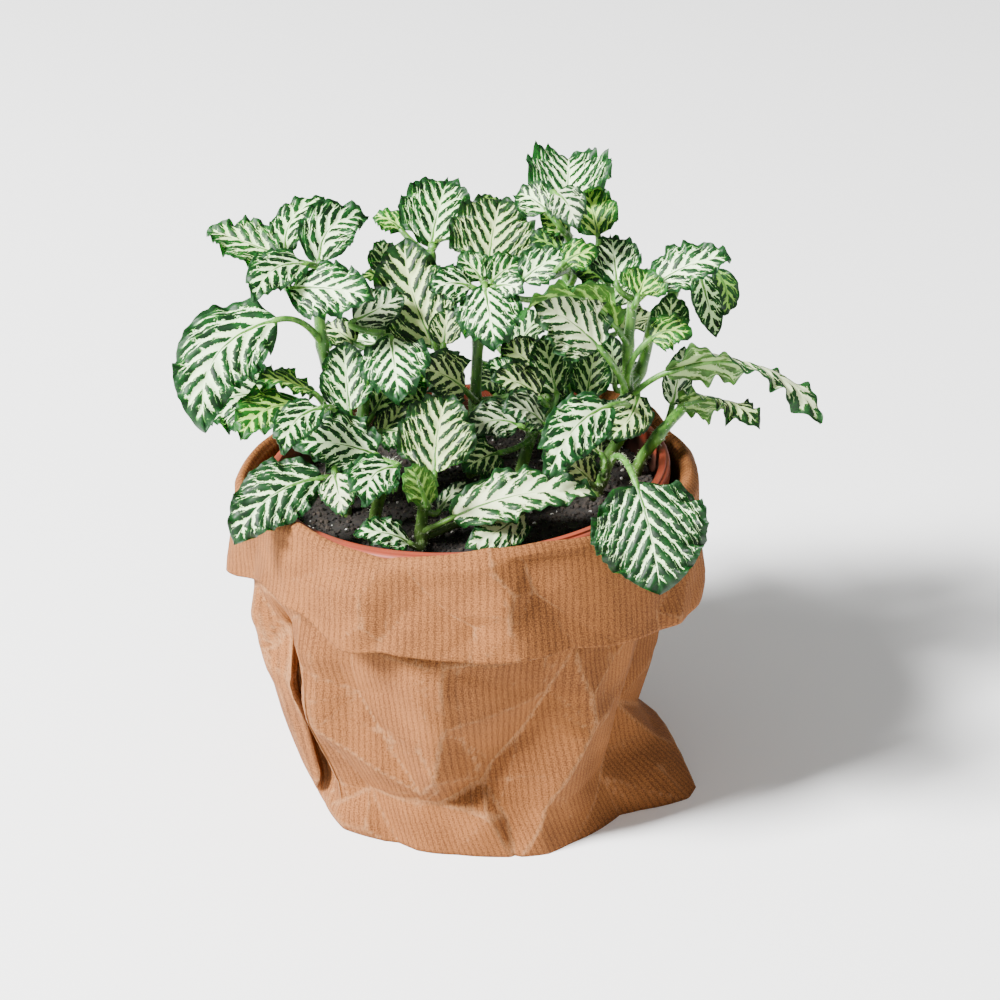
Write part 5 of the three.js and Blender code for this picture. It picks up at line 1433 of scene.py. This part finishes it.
@dataclass
class PaperBag:
    """The kraft bag: one sheet from the base up, over the rim's fold and down the cuff."""

    wall: float = 0.45
    solid_wall: float = 0.9
    girth: float = 2 * math.pi * 62
    columns: int = 372
    body_rows: int = 72
    lining_rows: int = 9
    crest_rows: int = 8
    cuff_rows: int = 34
    base_rows: int = 8
    body_top: float = 84.0
    cuff_low: float = 60.0
    cuff_high: float = 110.0
    pot_clearance: float = 1.5
    fold_strength: float = 0.6
    crumple_strength: float = 1.8
    cuff_crumple_strength: float = 1.4
    lining_strength: float = 0.6
    hem_wave: float = 1.6
    hem_draw: float = 80.0  # height in the cuff's fine crumples from which the hem takes its wave
    crest_wave: float = 1.2
    crest_draw: float = 100.0  # the same for the crest
    fold_calm: float = 0.6  # share by which the cuff's folds are weaker at its top
    crumple_calm: float = 0.4  # the same for its crumples
    calm: float = 5.0  # mm above the base up to which its fine crumples grow
    crest_rise: float = 2.4
    crest_round: float = 0.75
    cuff_top: float = 3.0  # how far below the crest the cuff starts
    crease_bend: float = 0.8  # mm of bend between neighbours that pales the paper fully, as wear and painted highlight
    middle: tuple = ((0, 2), (15, -3.5), (35, -5.6), (60, -7.7), (84, -6))
    body: tuple = ((0, 56.5), (15, 54.5), (35, 57), (60, 61.2), (84, 62.5))
    fold_middle: float = -5.4
    roll: float = 2.0  # how far the crest's round reaches in from its middle line
    roll_out: float = 1.5  # how far it reaches out, in rolls
    fold: tuple = ((-180, 95.5), (-165, 94.5), (-150, 97.5), (-137, 101.4), (-119, 99.5), (-110, 98.9), (-99, 101.2),
                   (-84, 103.9), (-72, 104.4), (-55, 102.4), (-23, 101), (0, 100), (24, 99.5), (32, 103),
                   (40, 103.5), (56, 101), (72, 98), (90, 97), (125, 96.5), (150, 96.5), (180, 95.5))
    crest: tuple = ((-180, 66.5), (-150, 64), (-137, 63), (-60, 63), (-35, 63.6), (-10, 64.6), (20, 64.8), (50, 64.6),
                    (90, 64.5), (130, 64.5), (160, 66.5), (180, 66.5))
    cuff_radius: float = 69.8
    cuff_middle: float = -4.8
    hem: tuple = ((-180, 68), (-165, 72), (-150, 78), (-133, 77), (-120, 71), (-108, 73.2), (-96, 71.8), (-76, 72.6),
                  (-64, 72), (-39, 67.5), (-16, 66), (0, 70), (40, 68), (80, 71), (110, 69), (150, 72), (180, 68))
    body_folds: tuple[Fold, ...] = (
        Fold(-147, 9, -6, 4, 70, -0.16), Fold(-162, 8, 1.5, 0, 70), Fold(-133, 8, 3, 28, 70),
        Fold(-136, 14, 6, -9, 14), Fold(-112, 12, 3, -9, 20), Fold(-99, 8, 2, 16, 74), Fold(-90, 7, -1.5, 8, 74),
        Fold(-73, 9, 2.6, 4, 72, 0.38), Fold(-47, 12, -3.4, 38, 72, 0.2), Fold(-42, 10, 2, 2, 40),
        Fold(-23, 13, 6, -9, 18), Fold(20, 13, -4, 8, 70), Fold(47, 14, 4, -9, 60), Fold(80, 13, -2.6, 12, 74, -0.2),
        Fold(104, 12, 2.4, 0, 74, 0.15), Fold(135, 15, 5, -9, 18), Fold(160, 12, -3.5, 8, 70),
    )
    cuff_folds: tuple[Fold, ...] = (
        Fold(-172, 8, 2, 60, 110), Fold(-156, 7, -1.6, 60, 110, 0.3), Fold(-140, 9, 1.4, 60, 110, -0.3),
        Fold(-110, 5, -1.4, 60, 96, 0.2), Fold(-84, 9, 1.2, 60, 110, 0.5), Fold(-70, 8, -1.2, 60, 110, -0.5),
        Fold(-40, 12, 1.2, 60, 110), Fold(-12, 12, 1.8, 60, 110), Fold(25, 10, -1.6, 60, 110, 0.3),
        Fold(62, 10, 1.4, 60, 110), Fold(100, 9, -1.4, 60, 110, -0.3), Fold(140, 12, 1.5, 60, 110),
    )
    body_creases: tuple = (
        ((-163, 72, 1), (-162, 45, 1.5), (-163, 15, 1), (-165, -3, 0)),
        ((-138, 72, 0), (-138, 55, 0.5), (-135, 45, 2), (-134, 36, 2.4), (-139, 17, 1.5), (-146, 2, 1),
         (-127, 3, 1.5), (-117, -4, 0)),
        ((-121, 67, -1.5), (-121.3, 50, -2), (-134, 36, 2.4)),
        ((-146, 2, 1), (-125, 15, -1), (-100.4, 16, -0.5), (-85.5, 22, -3), (-73, 26, 0)),
        ((-93.4, 68, 2), (-94.7, 46, 2.8), (-98.8, 28, 2.8), (-104.5, 20, 1)),
        ((-66, 66, -1), (-64, 53, -2), (-71.8, 40, -3.2), (-82.3, 28, -3.8), (-85.5, 22, -3)),
        ((-59, 68, 0.5), (-54, 51, 3.2), (-53, 41, 3.6), (-62.3, 25, 3.6), (-72.6, 9, 2), (-74, -4, 0.5)),
        ((-35, 66, 0.5), (-33, 45, -1)),
        ((-14, 66, -1), (-18, 46, -3), (-27, 32, -4), (-34, 19, -4), (-42, 13, -3.5), (-50, 7, -2.5)),
        ((-4, 60, 0.5), (-4, 40, 0), (-4, 20, -2.5), (-9, 9, 3), (-20, -3, 4)),
        ((-97, 4, 0.5), (-86, 14, 1.5), (-81, 12, -0.8), (-84, -3, 0.5)),
    )
    cuff_creases: tuple = (
        ((-170, 74, 1), (-157, 77, -1), (-138, 85, -1.6), (-129.5, 75, -1.2), (-120, 69, 0)),
        ((-107.8, 103, 0.5), (-115.4, 89, 2.2), (-114.6, 80.5, 2.2), (-119, 76, 1)),
        ((-83.4, 98.3, 2.6), (-79.1, 92, 2.4), (-80.3, 86.8, 2.2), (-80, 81.3, 1.8), (-77.8, 69, 1.5)),
        ((-76, 100, -1.6), (-74, 91, -1)),
        ((-110.4, 75.5, 0.3), (-100.3, 92, -1.5), (-94, 86, -1.2), (-87.8, 81.7, -1.6), (-89.4, 69, -1)),
        ((-67, 84, -1), (-55, 92, 1)),
        ((-69, 69, 1), (-52, 70, 0), (-39, 73.5, -0.8), (-31.5, 69, 1.6)),
    )
    pleat: tuple = ((-163, -163, 0), (-155, -145.5, 2.2), (-150, -152, -4), (-139, -136, 0.5), (-136, -136, 0))
    pleat_span: tuple = ((2, 0), (10, 1), (46, 1), (64, 0.3), (80, 0))
    finish: PaperFinish = PaperFinish()

    def __post_init__(self) -> None:
        """Draws the crumples."""
        body, cuff = (self.girth, 0, self.body_top), (self.girth, self.cuff_low, self.cuff_high)
        self.large = Crumple(21, *body, 22, 2.2, self.body_creases)
        self.small = Crumple(5, *body, 9, 0.55)
        self.cuff_large = Crumple(33, *cuff, 17, 1.1, self.cuff_creases)
        self.cuff_small = Crumple(8, *cuff, 7, 0.42)

    def run(self, azimuth: float) -> float:
        """The way round the bag to an azimuth, in millimetres."""
        return share_round(azimuth) * self.girth

    def clear_of_pot(self, middle: float, azimuth: float, z: float) -> float:
        """How near to the body's middle the pot inside lets the paper come."""
        inside = (z - POT.lift) / math.cos(POT.tilt)
        share = min(1.0, max(0.0, inside / POT.height))
        radius = POT.base_radius + (POT.neck_radius - POT.base_radius) * share + self.pot_clearance
        return radius + (inside * math.sin(POT.tilt) - middle) * math.cos(math.radians(azimuth))

    def point(self, middle: float, radius: float, azimuth: float, z: float) -> Triple:
        """A place at a radius about a middle in x."""
        angle = math.radians(azimuth)
        return (middle + radius * math.cos(angle), radius * math.sin(angle), z)

    def body_point(self, azimuth: float, z: float) -> tuple[Triple, float]:
        """A place of the body and how far its folds and crumples push it."""
        middle = read_off(self.middle, z)
        tuck = read_off(self.pleat_span, z)
        starts, ends, depths = zip(*self.pleat)
        lap = tuck * float(np.interp(azimuth, starts, depths))
        if starts[0] < azimuth < starts[-1]:
            azimuth += tuck * (float(np.interp(azimuth, starts, ends)) - azimuth)
        run = self.run(azimuth)
        push = self.fold_strength * sum(fold.at(azimuth, z) for fold in self.body_folds)
        fine = min(1.0, z / self.calm) * self.small.depth(run, z)
        push += self.crumple_strength * self.large.depth(run, z) + fine + lap
        nearest = self.clear_of_pot(middle, azimuth, z) + self.solid_wall
        return self.point(middle, max(read_off(self.body, z) + push, nearest), azimuth, z), push

    def cuff_point(self, azimuth: float, share: float) -> tuple[Triple, float]:
        """A place of the cuff, from its hem at share 0 to its top at 1."""
        top = read_off(self.fold, azimuth) - self.cuff_top
        run = self.run(azimuth)
        hem = read_off(self.hem, azimuth) + self.hem_wave * self.cuff_small.depth(run, self.hem_draw)
        z = hem + (top - hem) * share
        crumple = self.cuff_crumple_strength * self.cuff_large.depth(run, z) + self.cuff_small.depth(run, z)
        folds = sum(fold.at(azimuth, z) for fold in self.cuff_folds)
        push = folds * (1 - self.fold_calm * share) + (1 - self.crumple_calm * share) * crumple
        upper = read_off(self.crest, azimuth) + self.roll_out * self.roll
        radius = self.cuff_radius + (upper - self.cuff_radius) * share - self.wall
        return self.point(self.cuff_middle, radius + push, azimuth, z), push

    def column(self, azimuth: float) -> list[tuple[Triple, float]]:
        """One line of the sheet from the base's rim to the cuff's hem, as places and their pushes."""
        wave = self.crest_wave * self.cuff_small.depth(self.run(azimuth), self.crest_draw)
        top = read_off(self.fold, azimuth) + wave - self.crest_rise
        crest = read_off(self.crest, azimuth)
        foot = read_off(self.body, self.body_top) - self.solid_wall + self.wall
        inner, outer = crest - self.roll + self.wall, crest + self.roll_out * self.roll - self.wall
        line = [self.body_point(azimuth, float(z)) for z in np.linspace(0, self.body_top, self.body_rows + 1)]
        for share in np.linspace(0, 1, self.lining_rows + 1)[1:]:
            z = float(self.body_top + (top - self.body_top) * share)
            radius = foot + (inner - foot) * share + self.lining_strength * self.small.depth(self.run(azimuth), z)
            line.append((self.point(self.fold_middle, radius, azimuth, z), 0.0))
        _, top_push = self.cuff_point(azimuth, 1.0)
        for angle in np.linspace(math.pi, 0, self.crest_rows + 1)[1:-1]:
            out = math.cos(angle)
            radius = (inner + outer) / 2 + (outer - inner) / 2 * out
            middle = self.fold_middle + (self.cuff_middle - self.fold_middle) * (1 + out) / 2
            rise = self.crest_rise * (1 - abs(out)) ** self.crest_round
            line.append((self.point(middle, radius, azimuth, top + rise), top_push))
        return line + [self.cuff_point(azimuth, float(share)) for share in np.linspace(1, 0, self.cuff_rows + 1)]

    def build(self) -> None:
        """Makes the sheet, gives it its thickness and maps it."""
        azimuths = -180 + 360 * np.arange(self.columns) / self.columns
        lines = [self.column(float(azimuth)) for azimuth in azimuths]
        sheet = np.array([[place for place, _ in line] for line in lines]).transpose(1, 0, 2)
        push = np.array([[push for _, push in line] for line in lines]).T
        rim = sheet[0]
        centre = np.array((read_off(self.middle, 0), 0.0, 0.0))
        inward = np.linspace(0, 1, self.base_rows + 1)[1:-1]
        base = [centre + (rim - centre) * share for share in inward]
        points = np.concatenate([centre[None], *base, sheet.reshape(-1, 3)])
        first = 1 + np.arange(self.columns)
        grid = ring_faces(len(base) + len(sheet), self.columns) + 1
        # the bend that pales creases, partly as wear and partly as painted highlight
        bend = np.abs(np.roll(push, 1, axis=1) + np.roll(push, -1, axis=1) - 2 * push)
        bend[1:-1] += np.abs(push[2:] + push[:-2] - 2 * push[1:-1])
        crease = np.clip(bend / self.crease_bend, 0, 1).ravel()
        crease = np.concatenate([np.zeros(1 + len(base) * self.columns), crease])
        skin = Skin("crease")
        skin.add(points, np.vstack([grid, fan_faces(first[::-1], 0)]), crease=np.repeat(crease[:, None], 3, axis=1))
        bag = skin.piece("paper_sheet", self.finish.make())
        self.map_sheet(bag.data, sheet, len(base))
        shell = bag.modifiers.new("thickness", "SOLIDIFY")
        shell.thickness, shell.offset = self.wall * MM, -1.0
        bag.data = plain_mesh(bag)
        settle(bag, "kraft_paper", "paper_bag")

    def map_sheet(self, mesh: bpy.types.Mesh, sheet: np.ndarray, base_rings: int) -> None:
        """Lays the sheet out flat in a map of its own, in metres.

        Args:
            mesh: the sheet's mesh before it has a thickness.
            sheet: its points as rows of columns.
            base_rings: how many rings the base has inside its rim.
        """
        steps = np.linalg.norm(np.diff(sheet, axis=0), axis=2).mean(axis=1)
        down = np.concatenate([[0.0], np.cumsum(steps)])
        layer = mesh.uv_layers.new(name="sheet")
        corner = np.empty(len(mesh.loops), dtype=np.int32)
        mesh.loops.foreach_get("vertex_index", corner)
        first_wall = 1 + base_rings * self.columns
        on_wall = corner >= first_wall
        number = np.maximum(corner - first_wall, 0)
        column, row = number % self.columns, number // self.columns
        run = column / self.columns * self.girth
        sizes = np.empty(len(mesh.polygons), dtype=np.int32)
        mesh.polygons.foreach_get("loop_total", sizes)
        face_of = np.repeat(np.arange(len(sizes)), sizes)
        widest = np.zeros(len(sizes))
        np.maximum.at(widest, face_of, np.where(on_wall, run, 0.0))
        seam = on_wall & (column == 0) & (widest[face_of] > self.girth / 2)
        run = np.where(seam, self.girth, run)
        spots = np.empty(len(mesh.vertices) * 3, dtype=np.float32)
        mesh.vertices.foreach_get("co", spots)
        spots = spots.reshape(-1, 3)[corner]
        whole = np.ones(len(sizes), dtype=bool)
        np.logical_and.at(whole, face_of, on_wall)
        flat = ~whole[face_of]
        uv = np.where(flat[:, None], spots[:, :2], np.stack([run * MM, down[row] * MM], axis=1))
        layer.data.foreach_set("uv", uv.astype(np.float32).ravel())


# ---- studio ---------------------------------------------------------------------------------

@dataclass(frozen=True)
class Studio:
    """The pale floor, the soft lights and the camera at the photograph's angle."""

    elevation: float = math.radians(26)
    distance: float = 0.75
    aim: Triple = (0.0044, 0.0, 0.088)
    lens: float = 90.9
    sensor: float = 36.0
    floor_half: float = 6.0
    key_power: float = 405.0
    fill_power: float = 2.0
    sky: float = 0.42

    def light(self, name: str, place: Triple, size: float, power: float) -> None:
        """Adds a square soft light that looks at the plant."""
        lamp = bpy.data.lights.new(name, "AREA")
        lamp.size, lamp.energy = size, power
        thing = new_object(name, lamp)
        thing.location = place
        thing.rotation_euler = (Vector(self.aim) - Vector(place)).to_track_quat("-Z", "Y").to_euler()

    def floor(self) -> None:
        """Adds the floor."""
        material, g, shader = new_material("pale_floor")
        tone = g.blend(g.noise(g.place(), 3.0), (0.93, 0.93, 0.925), (0.96, 0.96, 0.955))
        g.set(shader, {"Base Color": tone, "Roughness": 0.9})
        mesh = bpy.data.meshes.new("floor")
        h = self.floor_half
        mesh.from_pydata([(-h, -h, 0), (h, -h, 0), (h, h, 0), (-h, h, 0)], [], [(0, 1, 2, 3)])
        mesh.materials.append(material)
        new_object("floor", mesh)

    def build(self) -> None:
        """Makes floor, sky, lights and camera."""
        self.floor()
        world = bpy.data.worlds.new("studio")
        world.use_nodes = True
        sky = world.node_tree.nodes["Background"]
        Graph(world.node_tree).set(sky, {0: (1, 1, 1, 1), 1: self.sky})
        bpy.context.scene.world = world
        self.light("key", (-1.75, -0.85, 1.85), 0.7, self.key_power)
        self.light("fill", (0.9, -0.7, 0.5), 0.9, self.fill_power)
        lens = bpy.data.cameras.new("camera")
        lens.lens, lens.sensor_width = self.lens, self.sensor
        camera = new_object("camera", lens)
        x, y, z = self.aim
        back, up = self.distance * math.cos(self.elevation), self.distance * math.sin(self.elevation)
        camera.location = (x, y - back, z + up)
        camera.rotation_euler = (math.pi / 2 - self.elevation, 0, 0)
        bpy.context.scene.camera = camera


def main() -> None:
    """Builds the plant piece by piece."""
    Studio().build()
    POT.build()
    Soil().build()
    PaperBag().build()
    leaf_materials = LeafMaterials()
    green = StalkFinish().make()
    white_hair = SpeckFinish("white_hairs", (0.45, 0.55, 0.3), (0.75, 0.8, 0.62), 200.0, 0.6).make()
    hairs = Scatter("strewn_hairs", Shape.HAIR, white_hair)
    for number, stem in enumerate(STEMS):
        stem.build(leaf_materials, green, hairs, number + 1)


if __name__ == "__main__":
    main()
